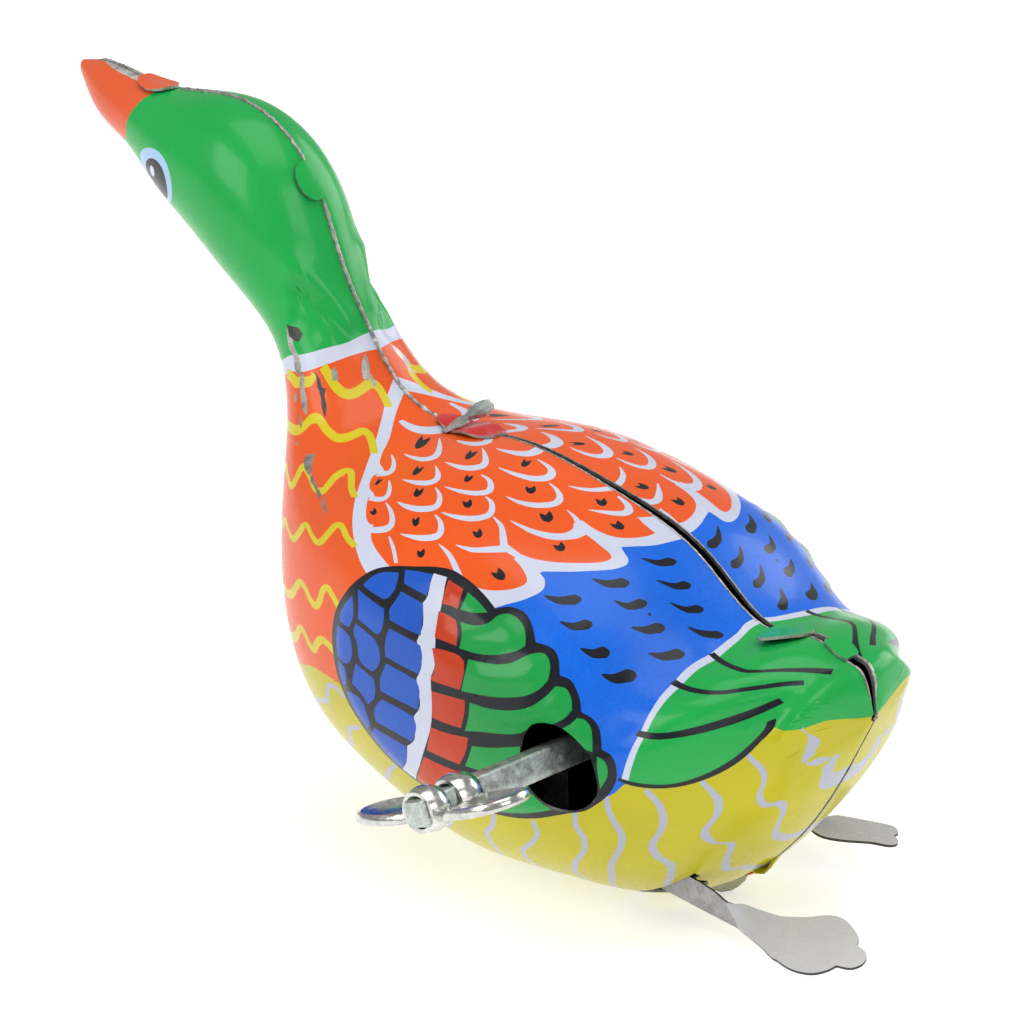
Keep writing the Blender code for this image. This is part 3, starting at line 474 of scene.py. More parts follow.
# Dark, burnt looking spots at the neck
SCORCH = (
    ((65.6, 45.8, 1), (66.8, 42), (67.8, 38.6), (69.2, 36.8, 1), (69.6, 40.4), (68.4, 44.2),
     (67.4, 46.4, 1)),
    ((75.4, 35, 1), (76.8, 33.2), (78.2, 32.8), (78.6, 31.2, 1), (79.5, 32.7), (81, 32.8), (82.6, 34.6, 1),
     (80.6, 35), (79.2, 34.5), (77.6, 35.2), (76.6, 34.6)),
)

# Worn tin along the ridge of the beak, drawn in a lighter tin than the other bare spots: real wear with a
# painted highlight on it
BEAK_WEAR_AND_HIGHLIGHT = (
    (4.6, -1), (5.4, 4), (6.4, 7.5), (8, 9.6), (9.6, 10.2), (11, 9.4), (12.4, 9), (13.6, 7), (14.4, -1),
)
# Where the colour areas meet, from the back seam down
BEAK_LINE = (
    (18.6, -2), (17.8, 15), (17.2, 25), (16.7, 40), (16.6, 50), (16.8, 60), (16.2, 70), (14.6, 85),
    (13.6, 102),
)
COLLAR_FRONT = (
    (74.6, -2), (74.5, 15), (73.7, 25), (72.5, 35), (71, 44), (69.8, 50), (68.9, 57), (67.9, 65),
    (66.8, 74), (65.6, 85), (64.6, 102),
)
COLLAR_REAR = (
    (77.3, -2), (76.6, 12), (76, 24), (75, 35), (73.7, 44), (72.3, 50), (71.4, 57), (70.4, 65), (69.3, 74),
    (68.2, 85), (67.2, 102),
)
BELLY_LINE = (
    (122.8, 58.2), (120.6, 59.3), (118.4, 60.8), (116.4, 62.8), (115, 65.4), (113.4, 69), (111.8, 75),
    (109.6, 85), (108, 102),
)
BACK_LINE = (
    (144.3, -2), (144.1, 3.5), (143.2, 6.2), (142, 8.1), (140.9, 9.8, 1), (142.4, 10.3), (144, 10.8),
    (144.7, 12), (144.1, 14), (142.4, 16.2), (139.8, 18.8), (136.1, 21.6, 1), (138.2, 22), (139.6, 23.1),
    (139.7, 24.5), (138.8, 26.5), (137.4, 28.3), (136.2, 30, 1),
)
TAIL_WHITE_FRONT = (
    (163, -2), (163.2, 2.4), (164.4, 5.5), (165.1, 9), (165.6, 14), (166, 20), (167.1, 25), (168.5, 29.4),
    (169.9, 34), (170.9, 38), (171.7, 42), (172.1, 45),
)
TAIL_WHITE_REAR = (
    (164.6, -2), (164.8, 2.4), (166.2, 6.5), (167.1, 10), (167.7, 15), (168, 20.5), (169, 26),
    (170.4, 31.5), (171.6, 36), (172.5, 40), (173.3, 45),
)

# Borders of the cape, its lobes on the blue back, and the ends of the belly and the tail areas
CAPE = (
    (82.4, -2, 1), (84.2, 5), (85.8, 10), (87.6, 14), (89.6, 18), (91.9, 22), (94, 25), (97.2, 29.6),
    (101, 33.4), (105.4, 36), (111, 37.4), (116, 37.6, 1), (128, 34, 1), (140, 28, 1), (146, -2, 1),
)
CAPE_BORDER = (
    (81, -2, 1), (82.8, 5), (84.4, 10), (86.2, 14), (88.2, 18), (90.5, 22), (93, 26), (96.1, 30),
    (99.8, 34), (104.6, 37.2), (110.5, 39), (116, 39.2, 1), (116, 35.3, 1), (112, 35.5), (109.5, 35.3),
    (107.8, 34.5, 1), (107.2, 33.6), (106.4, 34.1), (104.8, 34), (103, 33), (101.2, 31.6, 1),
    (102.2, 30.6, 1), (101, 30.2), (99.6, 30.3), (98.2, 29.4), (97.3, 28), (97.4, 26.6, 1), (98, 25.6, 1),
    (96.7, 25.1), (95.4, 24.9), (94.3, 23.8), (93.2, 22.2), (91.1, 18), (88.9, 14), (87.1, 10), (85.4, 5),
    (83.6, -2, 1),
)
BLUE_BORDER = ((138.6, -2, 1), *BACK_LINE, (128.6, 29.4, 1), (131, 21.5, 1), (131, 10.2, 1), (134.4, 6, 1))
CAPE_LOBES = (
    ((136.4, 2.6, 1), (138.4, 3), (141.2, 3.1, 1), (141.2, 4.6), (140.2, 6.9), (138.2, 8.9), (135.4, 9.8),
     (132, 9.9), (127, 9.4, 1), (128, 6, 1), (133, 6, 1)),
    ((134.7, 11.7, 1), (138.2, 11.9), (141.2, 12.1), (142.1, 13), (141.3, 14.8), (139, 17), (136.4, 18.9),
     (133.4, 20.3), (130.8, 20.9), (128.4, 20.8), (124.6, 19.4, 1), (126, 17.4, 1), (131, 16.4, 1),
     (134.2, 13.8)),
    ((128.4, 22.5), (131, 22.2), (134.2, 22.8), (136.5, 23.9), (136.1, 25.6), (134.3, 27.3), (131.8, 28.6),
     (128.8, 29.2, 1), (124, 28, 1), (125.6, 24.8, 1)),
    ((127, 10.2, 1), (129.6, 10.8), (131.8, 12), (131.9, 13.8), (130, 15.4), (126.6, 16.4, 1)),
)
TAIL_GREEN = (
    *TAIL_WHITE_REAR, (175, 46), (179.8, 46.8), (183.5, 45.2), (186.3, 41.5), (187.9, 36.5),
    (188.8, 31.6, 1), (191, 33.9), (193.6, 36.9), (195.8, 38.8), (197, 37.6), (198.6, 35), (205, 33, 1),
    (205, -2, 1), (175, -2, 1),
)
BELLY_YELLOW = (
    (205, 102), (205, 30), (188, 30), (172.7, 46), (172, 47.6), (171, 48.8), (168, 50), (150, 56),
)


def zones():
    """Large colour areas, painted in this order: (colour, outline)."""
    return [
        ("orange", [(-5, -2), (205, -2), (205, 102), (-5, 102)]),
        ("beak", [(-5, -2), (20, -2), (20, 102), (-5, 102)]),
        ("green", edge_band(BEAK_LINE, COLLAR_REAR)),
        ("white", edge_band(COLLAR_FRONT, COLLAR_REAR)),
        ("cape", smooth(CAPE)),
        ("white", smooth(CAPE_BORDER)),
        ("blue", [(140, -2), (175, -2), (175, 50), (136, 50), (136, 10)]),
        ("white", smooth(BLUE_BORDER)),
        *[("cape", smooth(lobe)) for lobe in CAPE_LOBES],
        ("yellow", np.concatenate([smooth(BELLY_LINE, closed=False), BELLY_YELLOW])),
        ("green", smooth(TAIL_GREEN)),
        ("white", edge_band(TAIL_WHITE_FRONT, TAIL_WHITE_REAR)),
    ]


def art():
    """Every printed shape in painter's order: (colour, outline on the chart)."""
    made = zones()
    made += [("wave", ribbon(line, (0.5, 0.56, 0.55, 0.55))) for line in WAVES]
    made += [("ripple", ribbon(line, (0.32, 0.36, 0.36, 0.4))) for line in RIPPLES]
    made += [("white", ribbon(line, widths)) for line, widths in CRESCENTS]
    made += [("ink", heart(*values)) for values in HEARTS]
    made += [("ink", teardrop(*values)) for values in DROPS]
    made += [("ink", oval(154.1, 15.2, 0.3, 0.25, 10))]
    made += [("ink", ribbon(line, widths)) for line, widths in STREAKS]
    made += [("ink", smooth(WING)), ("white", smooth(WHITE_LINE))]
    for colour, outlines in (("scale_blue", SCALES), ("block_red", BLOCKS), ("feather", FEATHERS)):
        made += [(colour, smooth(outline)) for outline in outlines]
    made += [("eye_rim", oval(27.6, 61.5, 5.2, 15.0)), ("eye_dark", oval(27.9, 64.0, 3.5, 12.2)),
             ("eye_glint", oval(26.7, 61.4, 0.75, 3.6, 16))]
    # The beak's worn ridge takes the lighter tin, a painted highlight over the wear
    for colour, outlines in (("bare", CHIPS), ("bright_tin", (BEAK_WEAR_AND_HIGHLIGHT,)), ("scorch", SCORCH)):
        made += [(colour, smooth(outline)) for outline in outlines]
    return made


# ---------------------------------------------------------------- the embossing
def segment_distance(a, b, outline, closed):
    """Distance in mm from chart places to an outline."""
    scale_b = b_mm(a)
    nearest = np.full(len(a), 1e9)
    ends = np.roll(outline, -1, axis=0) if closed else outline[1:]
    for start, end in zip(outline[: len(ends)], ends):
        px, py = (a - start[0]) * A_MM, (b - start[1]) * scale_b
        dx, dy = (end[0] - start[0]) * A_MM, (end[1] - start[1]) * scale_b
        t = np.clip((px * dx + py * dy) / np.maximum(dx * dx + dy * dy, 1e-9), 0, 1)
        nearest = np.minimum(nearest, (px - t * dx) ** 2 + (py - t * dy) ** 2)
    return np.sqrt(nearest)


def inside(a, b, outline):
    """Non-zero winding test of chart places against a closed outline."""
    near = near_box(a, b, outline, margin=0)
    x, y = a[near], b[near]
    turns = np.zeros(len(near), int)
    for (x0, y0), (x1, y1) in zip(outline, np.roll(outline, -1, axis=0)):
        side = (x1 - x0) * (y - y0) - (x - x0) * (y1 - y0)
        turns += (y0 <= y) & (y1 > y) & (side > 0)
        turns -= (y0 > y) & (y1 <= y) & (side < 0)
    found = np.zeros(len(a), bool)
    found[near] = turns != 0
    return found


def near_box(a, b, outline, margin=6):
    """Numbers of the chart places in the box round an outline."""
    low, high = outline.min(axis=0) - margin, outline.max(axis=0) + margin
    return np.flatnonzero((a > low[0]) & (a < high[0]) & (b > low[1]) & (b < high[1]))


def signed_depth(a, b, outline):
    """Depth in mm inside a closed outline, negative outside; far places are a large negative."""
    depth = np.full(len(a), -1e3)
    near = near_box(a, b, outline)
    away = segment_distance(a[near], b[near], outline, True)
    depth[near] = np.where(inside(a[near], b[near], outline), away, -away)
    return depth


def ease(t):
    """A soft step from 0 to 1."""
    t = np.clip(t, 0, 1)
    return t * t * (3 - 2 * t)


# Creases pressed or bent into the sheet: line, height in mm (below 0 is a valley), width in mm
FOLDS = (
    (((60.5, 29), (63.5, 22), (67.5, 15), (72, 10.5)), 0.5, 1.1),
    (((64, 31), (67, 23), (70.5, 17), (74.5, 12)), -0.6, 1.3),
    (((62.5, 37), (66, 31), (70, 25), (72.5, 20)), 0.3, 1), (((66, 38), (68, 34), (70.5, 29)), -0.35, 1),
    (((57, 44), (61, 38), (64, 33)), -0.25, 1.3),
)


# On the far half the tail is fuller above its corner and flatter at it
FAR_TAIL_FOLDS = (
    (((182, 32), (187, 26), (190.5, 21)), 0.9, 3), (((193.5, 24), (195.3, 36), (195.3, 46)), -0.55, 2.6),
)


def ridge(a, b, line, width, margin=6):
    """Numbers of the places near a line, and there a bell-shaped ridge of height 1 and this width in mm."""
    path = np.array(line, float)
    near = near_box(a, b, path, margin)
    away = segment_distance(a[near], b[near], path, False)
    return near, np.exp(-((away / width) ** 2))


def tail_relief(a, b):
    """Grooves along the printed streaks, which leave the feathers of the tail standing between them."""
    height = np.zeros(len(a))
    for (line, _), depth, width in zip(STREAKS, (-0.3, -0.28, -0.32, -0.25), (1.8, 1.8, 1.8, 1.4)):
        near, swell = ridge(a, b, line, width)
        height[near] = np.minimum(height[near], depth * swell)
    return height


# Raised areas: outlines, height in mm, width in mm of the slope, and how much of it lies outside the outline
RAISED = (
    ((WING,), 0.45, 3.0, 0.5),
    (FEATHERS[1:6] + FEATHERS[7:], 0.3, 2.0, 0),
    (BLOCKS, 0.15, 1.2, 0),
)


def relief(a, b, side):
    """Height of the pressed pattern above the bare surface, in mm."""
    height = tail_relief(a, b) * (1 if side > 0 else 0.25)
    for outlines, rise, slope, outside in RAISED:
        for outline in outlines:
            depth = signed_depth(a, b, smooth(outline, steps=1))
            height += rise * ease((depth + outside) / slope)
    for line, rise, width in FOLDS + (FAR_TAIL_FOLDS if side < 0 else ()):
        near, swell = ridge(a, b, line, width, margin=16)
        height[near] += rise * swell
    return height


# ---------------------------------------------------------------- the two half shells
# The print on the right half sits nearer the seam towards the tail
RIGHT_SHIFT_A = (120, 136, 147, 165, 176, 188, 200)
RIGHT_SHIFT_B = (0, 1.8, 4, 3.6, 6.5, 8.5, 8.5)


def right_shift(a, b):
    """How much nearer the back seam the right half's print sits, in units of b."""
    return np.interp(a, RIGHT_SHIFT_A, RIGHT_SHIFT_B) * np.clip(1 - b / 60, 0, 1)


def on_side(outline, side):
    """An outline of the art as it lies on one half."""
    outline = np.asarray(outline, float)
    if side > 0:
        return outline
    return np.column_stack([outline[:, 0], outline[:, 1] - right_shift(outline[:, 0], outline[:, 1])])


def pressed(side):
    """The embossed surface function of one half, in the toy's axes."""
    slim = 0.98                    # leaves room for the embossing inside the CAD outline

    def bare(a, b):
        points = skin(a, b)
        points[:, 0] *= slim
        return points

    def surface(a, b):
        drawn_b = b + (right_shift(a, b) if side < 0 else 0)
        return bare(a, b) + skin_normal(a, b, bare) * relief(a, drawn_b, side)[:, None]

    return surface


def chart_place(x, y):
    """Chart place on the underside that lies at (x, y) of the toy."""
    a, b = np.meshgrid(np.arange(90, 196, 0.25), np.arange(70, 100, 0.25))
    points = skin(a.ravel(), b.ravel())
    best = np.argmin((points[:, 0] - x) ** 2 + (points[:, 1] - y) ** 2)
    return a.ravel()[best], b.ravel()[best]


def leg_slot(side):
    """The slot that a leg swings in, wider where the twisted part of its sheet passes."""
    # Corners at (x, y) of the toy
    if side > 0:
        corners = ((9, 41.9), (10, 41.9), (10, 31.6), (9, 31.6), (9, 34.6), (7.6, 36.6), (5.9, 37.8),
                   (5.9, 40.6), (7, 41.2), (9, 41.2))
    else:
        corners = ((11.9, 24), (11.9, 36), (10.3, 36), (10.3, 44.4), (14.7, 44.4), (14.7, 36), (13.1, 36),
                   (13.1, 24))
    return [(*chart_place(x, y), 1) for x, y in corners]


def refined(outline, longest=1.0):
    """The same outline with its long straight runs split, so that it can follow the curved sheet."""
    points = []
    for start, end in zip(outline, np.roll(outline, -1, axis=0)):
        count = max(1, int(np.ceil(np.abs(end - start).max() / longest)))
        points += [start + (end - start) * k / count for k in range(count)]
    return np.array(points)


def meshed(points, edges):
    """Chart points and triangles of a flat mesh that holds these points and edges."""
    made = delaunay_2d_cdt([Vector(p) for p in points], edges, [], 0, 1e-4)
    return np.array([tuple(v) for v in made[0]]), np.array(made[2])


def trimmed(chart, triangles, keep):
    """The triangles to keep, with only the points that they use."""
    used, flat = np.unique(triangles[keep], return_inverse=True)
    return chart[used], flat.reshape(-1, 3)


def triangulate(outlines):
    """Chart points and triangles that follow every outline, with a fine even grid between them."""
    points, edges = [], []
    frame_line = [(a, 0.0) for a in np.arange(0, A_END + 0.1, GRID_STEP)]
    frame_line += [(A_END, b) for b in np.arange(2, B_END, 2.0)]
    frame_line += [(a, B_END) for a in np.arange(A_END, -0.1, -GRID_STEP)]
    frame_line += [(0.0, b) for b in np.arange(B_END - 2, 0, -2.0)]
    for outline in [np.array(frame_line)] + [refined(outline) for outline in outlines]:
        start, count = len(points), len(outline)
        points += [tuple(p) for p in outline]
        edges += [(start + i, start + (i + 1) % count) for i in range(count)]
    for i, a in enumerate(np.arange(0.5, A_END, GRID_STEP)):
        spacing = GRID_STEP * 0.75 / max(b_mm(a), 0.3)
        shift = 0.5 * spacing * (i % 2)
        points += [(a, b) for b in np.arange(spacing / 2 + shift, B_END - 0.2, spacing)]
    return meshed(points, edges)


def painted_shell(name, side, materials, opening=None):
    """One half shell: printed outer skin, plain inner skin and the bare cut edge between them."""
    shapes = [(colour, on_side(outline, side)) for colour, outline in art()]
    holes = [smooth(leg_slot(side))]
    if opening is not None:
        holes.append(smooth(opening))
    chart, triangles = triangulate([outline for _, outline in shapes] + holes)
    centre = chart[triangles].mean(axis=1)
    keep = (centre > 0).all(axis=1) & (centre < (A_END, B_END)).all(axis=1)
    for hole in holes:
        keep &= ~inside(centre[:, 0], centre[:, 1], hole)
    chart, triangles = trimmed(chart, triangles, keep)
    centre = chart[triangles].mean(axis=1)
    names = sorted({colour for colour, _ in shapes})
    paint = np.zeros(len(triangles), int)
    for colour, outline in shapes:
        paint[inside(centre[:, 0], centre[:, 1], outline)] = names.index(colour)

    surface = pressed(side)
    outer = surface(chart[:, 0], chart[:, 1])
    normal = skin_normal(chart[:, 0], chart[:, 1], surface)
    inner = outer - normal * SHELL_THICKNESS
    inner[:, 0] = np.maximum(inner[:, 0], 0.02)
    flip = [side, 1, 1]
    inks = [materials[ink] for ink in names]
    return sheet(name, outer * flip, inner * flip, triangles, paint, inks, materials)


def sheet(name, outer, inner, triangles, paint, inks, materials, back="inside", rim_look="bare"):
    """A closed sheet: painted outside, one plain material on its back and one on the cut edge."""
    count = len(outer)
    sides = np.concatenate([triangles[:, [0, 1]], triangles[:, [1, 2]], triangles[:, [2, 0]]])
    sides, uses = np.unique(np.sort(sides, axis=1), axis=0, return_counts=True)
    rim = [(i, j, j + count, i + count) for i, j in sides[uses == 1]]
    faces = [tuple(t) for t in triangles] + [tuple(t[::-1] + count) for t in triangles] + rim
    slots = list(paint) + [len(inks)] * len(triangles) + [len(inks) + 1] * len(rim)
    points = np.concatenate([outer, inner])
    obj = add_mesh(name, points, faces, list(inks) + [materials[back], materials[rim_look]])
    obj.data.polygons.foreach_set("material_index", slots)
    fix_normals(obj)
    return obj


# ---------------------------------------------------------------- tabs, lugs and seam edges
def over_seam(a, b):
    """Surface place and outward normal; b below 0 lies on the right half."""
    flip = np.where(b < 0, -1.0, 1.0)[:, None] * [1, 0, 0] + [0, 1, 1]
    points = skin(a, np.abs(b)) * flip
    normal = skin_normal(a, np.abs(b), skin) * flip
    return points, normal


def filled(outline, crease=()):
    """Points and triangles of a fine grid that fills a closed outline, with edges along a crease."""
    edge = refined(smooth(outline), 0.5)
    low, high = edge.min(axis=0), edge.max(axis=0)
    grid = [(a, b) for a in np.arange(low[0], high[0], 0.5) for b in np.arange(low[1], high[1], 0.8)]
    grid = np.array(grid + list(crease)) + 0.01        # off the outline's own points
    grid = grid[inside(grid[:, 0], grid[:, 1], edge)]
    edges = [(i, (i + 1) % len(edge)) for i in range(len(edge))]
    chart, triangles = meshed(np.concatenate([edge, grid]), edges)
    centre = chart[triangles].mean(axis=1)
    return trimmed(chart, triangles, inside(centre[:, 0], centre[:, 1], edge))


def patch(name, outline, height, ink, materials):
    """A flap of tin lying over the shell; height gives its outside above the surface in mm."""
    chart, triangles = filled(outline)
    base, normal = over_seam(chart[:, 0], chart[:, 1])
    outer = base + normal * height(chart[:, 0], chart[:, 1])[:, None]
    inner = outer - normal * SHELL_THICKNESS
    return sheet(name, outer, inner, triangles, [0] * len(triangles), [materials[ink]], materials)


def ragged(t):
    """A rough, repeatable wobble between 0 and 1 along a torn edge."""
    return 0.5 + 0.25 * np.sin(5.1 * t) * np.sin(1.7 * t + 1) + 0.25 * np.sin(11.3 * t + 2) * np.cos(3.9 * t)


def loft(name, sections, materials):
    """Skins a list of equal rings of points and closes both ends."""
    ring = len(sections[0])
    points = [p for section in sections for p in section]
    faces = []
    for i in range(len(sections) - 1):
        for k in range(ring):
            m = (k + 1) % ring
            faces.append((i * ring + k, i * ring + m, (i + 1) * ring + m, (i + 1) * ring + k))
    faces += [tuple(range(ring)), tuple(range(len(points) - ring, len(points)))]
    obj = add_mesh(name, points, faces, materials)
    fix_normals(obj)
    return obj


def seam_edge(name, start, end, side, seam, width, rise, materials):
    """The bare, slightly torn edge of one half standing along the seam at b = seam."""
    sections = []
    for a in np.arange(start, end + 0.01, 0.4):
        place = np.array([a])
        base = skin(place, np.array([seam]))[0]
        out = skin_normal(place, np.array([abs(seam - 1)]), skin)[0] * [0, 1, 1]
        out = out / max(np.linalg.norm(out), 1e-6)
        fade = min(1.0, (a - start) / 1.5 + 0.1, (end - a) / 1.5 + 0.1)
        wide = width * fade * (0.6 + 0.6 * ragged(a * 1.3 + side))
        tall = rise * fade * (0.45 + 0.8 * ragged(a * 0.9 + 2 * side))
        x0 = max(base[0] - 0.04, 0.02)
        corners = ((x0, -SHELL_THICKNESS), (x0 + wide, -SHELL_THICKNESS), (x0 + wide, tall * 0.55),
                   (x0 + wide * 0.5, tall), (x0, tall * 0.8))
        sections.append([(side * x, base[1] + out[1] * h, base[2] + out[2] * h) for x, h in corners])
    return loft(name, sections, [materials["bare"]])


def make_seams(materials):
    """The edges of both halves: first and last a, side, b of the seam, width and height in mm."""
    rows = (
        ("head_seam_edge", 21, 50, 1, 0.0, 0.38, 0.38),
        ("neck_seam_edge", 55, 92, 1, 0.0, 0.42, 0.5),
        ("left_back_seam_edge", 100, 167, 1, 0.0, 0.22, 0.14),
        ("right_back_seam_edge", 100, 167, -1, 0.0, 0.22, 0.14),
        ("left_tail_seam_edge", 177, 199, 1, 0.0, 0.3, 0.16),
        ("right_tail_seam_edge", 177, 199, -1, 0.0, 0.55, 0.2),
        ("belly_seam_edge", 150, 199, -1, float(B_END), 0.3, 0.12),
        ("beak_seam_edge", 3, 14, -1, 0.0, 0.3, 0.3),
    )
    return [seam_edge(*row, materials) for row in rows]


# Outlines of the folded tabs, and of the red tin under the lug on the back
BEAK_TAB = (
    (13.6, -6), (16.5, -8), (19.6, -5), (20.4, 2), (19.8, 9), (18.2, 14), (16.2, 15), (14.4, 12), (13.2, 5),
)
NECK_TAB = (
    (50.6, -3), (52.5, -4), (54.6, -2), (55.3, 2), (55, 6), (53.6, 9), (51.6, 9.4), (50, 7), (49.6, 2),
)
TAIL_TONGUE = (
    (168, -2), (172, -3.5), (176.5, -1.5), (177.6, 1), (177, 3.6), (174.8, 6.6), (172.6, 7.8), (170.8, 6.8),
    (169.2, 3.5),
)
TAIL_FLAP = (
    (182.4, -2.2), (185, -2.6), (188.6, -1.4), (189.6, 0.6), (187.6, 1.5), (184.4, 1.2), (182, 0.2),
)
CRUMPLE = (
    (91.5, -2.5), (95, -4), (99, -3.6), (102, -1.5), (102.4, 2), (100, 4.6), (96, 5), (92.6, 3.4),
    (91, 0.5),
)
# Corners of a bar, going round it
SQUARE = ((-1, -1), (1, -1), (1, 1), (-1, 1))


def make_tabs(materials):
    """Locking tabs that fold from one half over the other."""
    return [
        patch("beak_tab", BEAK_TAB, lambda a, b: 0.45 + 0.02 * np.abs(b), "beak", materials),
        patch("neck_tab", NECK_TAB, lambda a, b: 0.55 + 0.02 * b, "green", materials),
        patch("tail_tongue", TAIL_TONGUE, lambda a, b: 0.45 + 0.09 * np.clip(b, 0, 9), "green", materials),
        patch("tail_flap", TAIL_FLAP, lambda a, b: 0.45 + 0 * a, "green", materials),
    ]


def make_back_lug(materials):
    """The strap end twisted over the seam, with the crumpled red tin that it holds down."""
    centre, half = np.array([0, -1.75, 50.15]), np.array([-3.1, 1.06, 1.2])
    along = half / np.linalg.norm(half)
    lift = np.array([0.25, 0.1, 1.0])
    lift -= along * (lift @ along)
    lift /= np.linalg.norm(lift)
    across = np.cross(lift, along)
    sections = []
    for t in np.linspace(-1, 1, 17):
        wide = 0.5 + 0.75 * math.sin(math.pi * abs(t)) ** 0.8
        turn = 0.45 * t - 0.25
        u = across * math.cos(turn) + lift * math.sin(turn)
        v = lift * math.cos(turn) - across * math.sin(turn)
        middle = centre + half * t
        sections.append([middle + u * x * wide + v * z * 0.28 for x, z in SQUARE])
    lug = loft("back_lug_bow", sections, [materials["zinc"]])
    crumple = patch("back_lug_red_tin", CRUMPLE, lambda a, b: 0.42 + 0.16 * np.sin(1.1 * a) + 0.05 * b,
                    "lug_red", materials)
    return [lug, crumple]


def make_belly_lugs(materials):
    """Two lugs bent out of the shell's lower edge at the back of the belly."""
    def leaf(name, rows, ink):
        sections = []
        for centre, wide, lean in rows:
            u = np.array([math.cos(lean), 0.3 * math.sin(lean), math.sin(lean)])
            v = np.array([0, 1, 0]) * 0.2
            sections.append([np.array(centre) + u * x * wide + v * y for x, y in SQUARE])
        return loft(name, sections, [materials[ink]])

    # The front leaf is drawn in a darkened yellow as painted shade; the rear leaf is in the plain yellow
    front = leaf("front_belly_leaf", (((0.2, 40.9, 3.5), 0.9, 0.2), ((0.3, 39.8, 2.5), 1.9, 0.35),
                                      ((0.5, 38.6, 1.6), 2.3, 0.45), ((0.7, 37.6, 0.9), 2.1, 0.5),
                                      ((0.8, 37.2, 0.6), 1.0, 0.5)), "lug_yellow_painted_shade")
    rear = leaf("rear_belly_leaf", (((0.2, 42.6, 5.2), 0.9, -0.2), ((0.0, 43.5, 4.9), 1.0, -0.4),
                                    ((-0.2, 44.6, 5.3), 1.1, -0.6), ((-0.3, 45.4, 6.2), 1.0, -0.7),
                                    ((-0.3, 45.7, 6.9), 0.7, -0.7)), "yellow")
    red = leaf("belly_lug_red_tin", (((0.2, 40.2, 3.4), 0.7, 0.0), ((0.2, 41.6, 3.6), 0.9, 0.2),
                                     ((0.1, 42.9, 4.4), 0.6, 0.1)), "lug_red")
    return front, rear, red


# ---------------------------------------------------------------- the winding key
KEY_AXIS = np.array([0, 32.5, 23.0])
KEY_ROLL = math.radians(18)
SPAN = np.array([0, math.cos(KEY_ROLL), math.sin(KEY_ROLL)])
LIFT = np.array([0, -math.sin(KEY_ROLL), math.cos(KEY_ROLL)])


def key_point(x, across, up):
    """A point of the toy from places in mm along the key's bar, along its wings and square to both."""
    return KEY_AXIS + np.array([x, 0, 0]) + SPAN * across + LIFT * up


def make_key_bar(materials):
    """The square drive bar, with its edges broken."""
    half, cut = 1.6, 0.25
    corners = ((-half, -half + cut), (-half + cut, -half), (half - cut, -half), (half, -half + cut),
               (half, half - cut), (half - cut, half), (-half + cut, half), (-half, half - cut))
    ends = ((12.0, 1.0), (45.2, 1.0), (45.6, 0.88))
    sections = [[key_point(x, u * k, v * k) for u, v in corners] for x, k in ends]
    return loft("key_bar", sections, [materials["zinc"]])


def make_key_wing(name, sign, materials):
    """One wing: a dished loop with a thick rolled rim, narrow where it meets the hub."""
    outline = [(1.6, 37.6), (3.4, 36.9), (6.0, 36.6), (9.0, 36.9), (11.4, 38.3), (12.5, 40.6), (12.2, 43.0),
               (10.4, 44.9), (7.6, 45.5), (4.6, 45.2), (2.6, 44.6), (1.6, 43.8)]
    loop = smooth(outline, steps=3)
    centre = np.array([7.6, 41.1])
    rings = ((0.12, -0.35), (0.4, -0.3), (0.62, -0.12), (0.76, 0.3), (0.86, 0.62), (0.94, 0.55), (1.0, 0.15),
             (1.0, -0.25), (0.93, -0.62), (0.82, -0.72), (0.6, -0.7), (0.12, -0.75))
    sections = []
    for t, up in rings:
        ring = centre + (loop - centre) * t
        droop = 0.014 * ring[:, 0] ** 1.5
        sections.append([key_point(x, sign * s, up - 0.7 + d) for (s, x), d in zip(ring, droop)])
    return loft(name, sections, [materials["key_zinc"]])


def make_key_hub(materials):
    """The sheet folded under the bar and the two humps that grip it from above."""
    trough = []
    half_turn = np.linspace(math.pi, 2 * math.pi, 13)
    for x in np.linspace(37.0, 45.0, 9):
        swell = 0.15 * math.sin((x - 37) * 1.3)
        ring = [key_point(x, 2.35 * math.cos(t), -0.2 + (2.3 + swell) * math.sin(t))
                for t in half_turn]
        ring += [key_point(x, 1.75 * math.cos(t), -0.2 + 1.65 * math.sin(t)) for t in half_turn[::-1]]
        trough.append(ring)
    made = [loft("key_hub_trough", trough, [materials["key_zinc"]])]
    for name, x0, x1 in (("key_hub_front_hump", 42.0, 45.2), ("key_hub_back_hump", 36.8, 40.4)):
        sections = []
        for t in np.linspace(-0.15, math.pi + 0.15, 19):
            out = np.array([math.cos(t) * 2.9, math.sin(t) * 2.9])
            inner = np.array([math.cos(t) * 1.5, math.sin(t) * 1.65])
            middle, half = (out + inner) / 2, (out - inner) / 2
            ring = []
            for k in range(10):
                angle = 2 * math.pi * k / 10
                across, up = middle + half * math.cos(angle)
                x = (x0 + x1) / 2 + (x1 - x0) / 2 * math.sin(angle)
                ring.append(key_point(x, across, up))
            sections.append(ring)
        made.append(loft(name, sections, [materials["key_zinc"]]))
    return made


# ---------------------------------------------------------------- legs
LEG_HALF = 1.75                    # half height of the strut by the crank
LEG_BEND = 3.0                     # radius of its bend below the crank


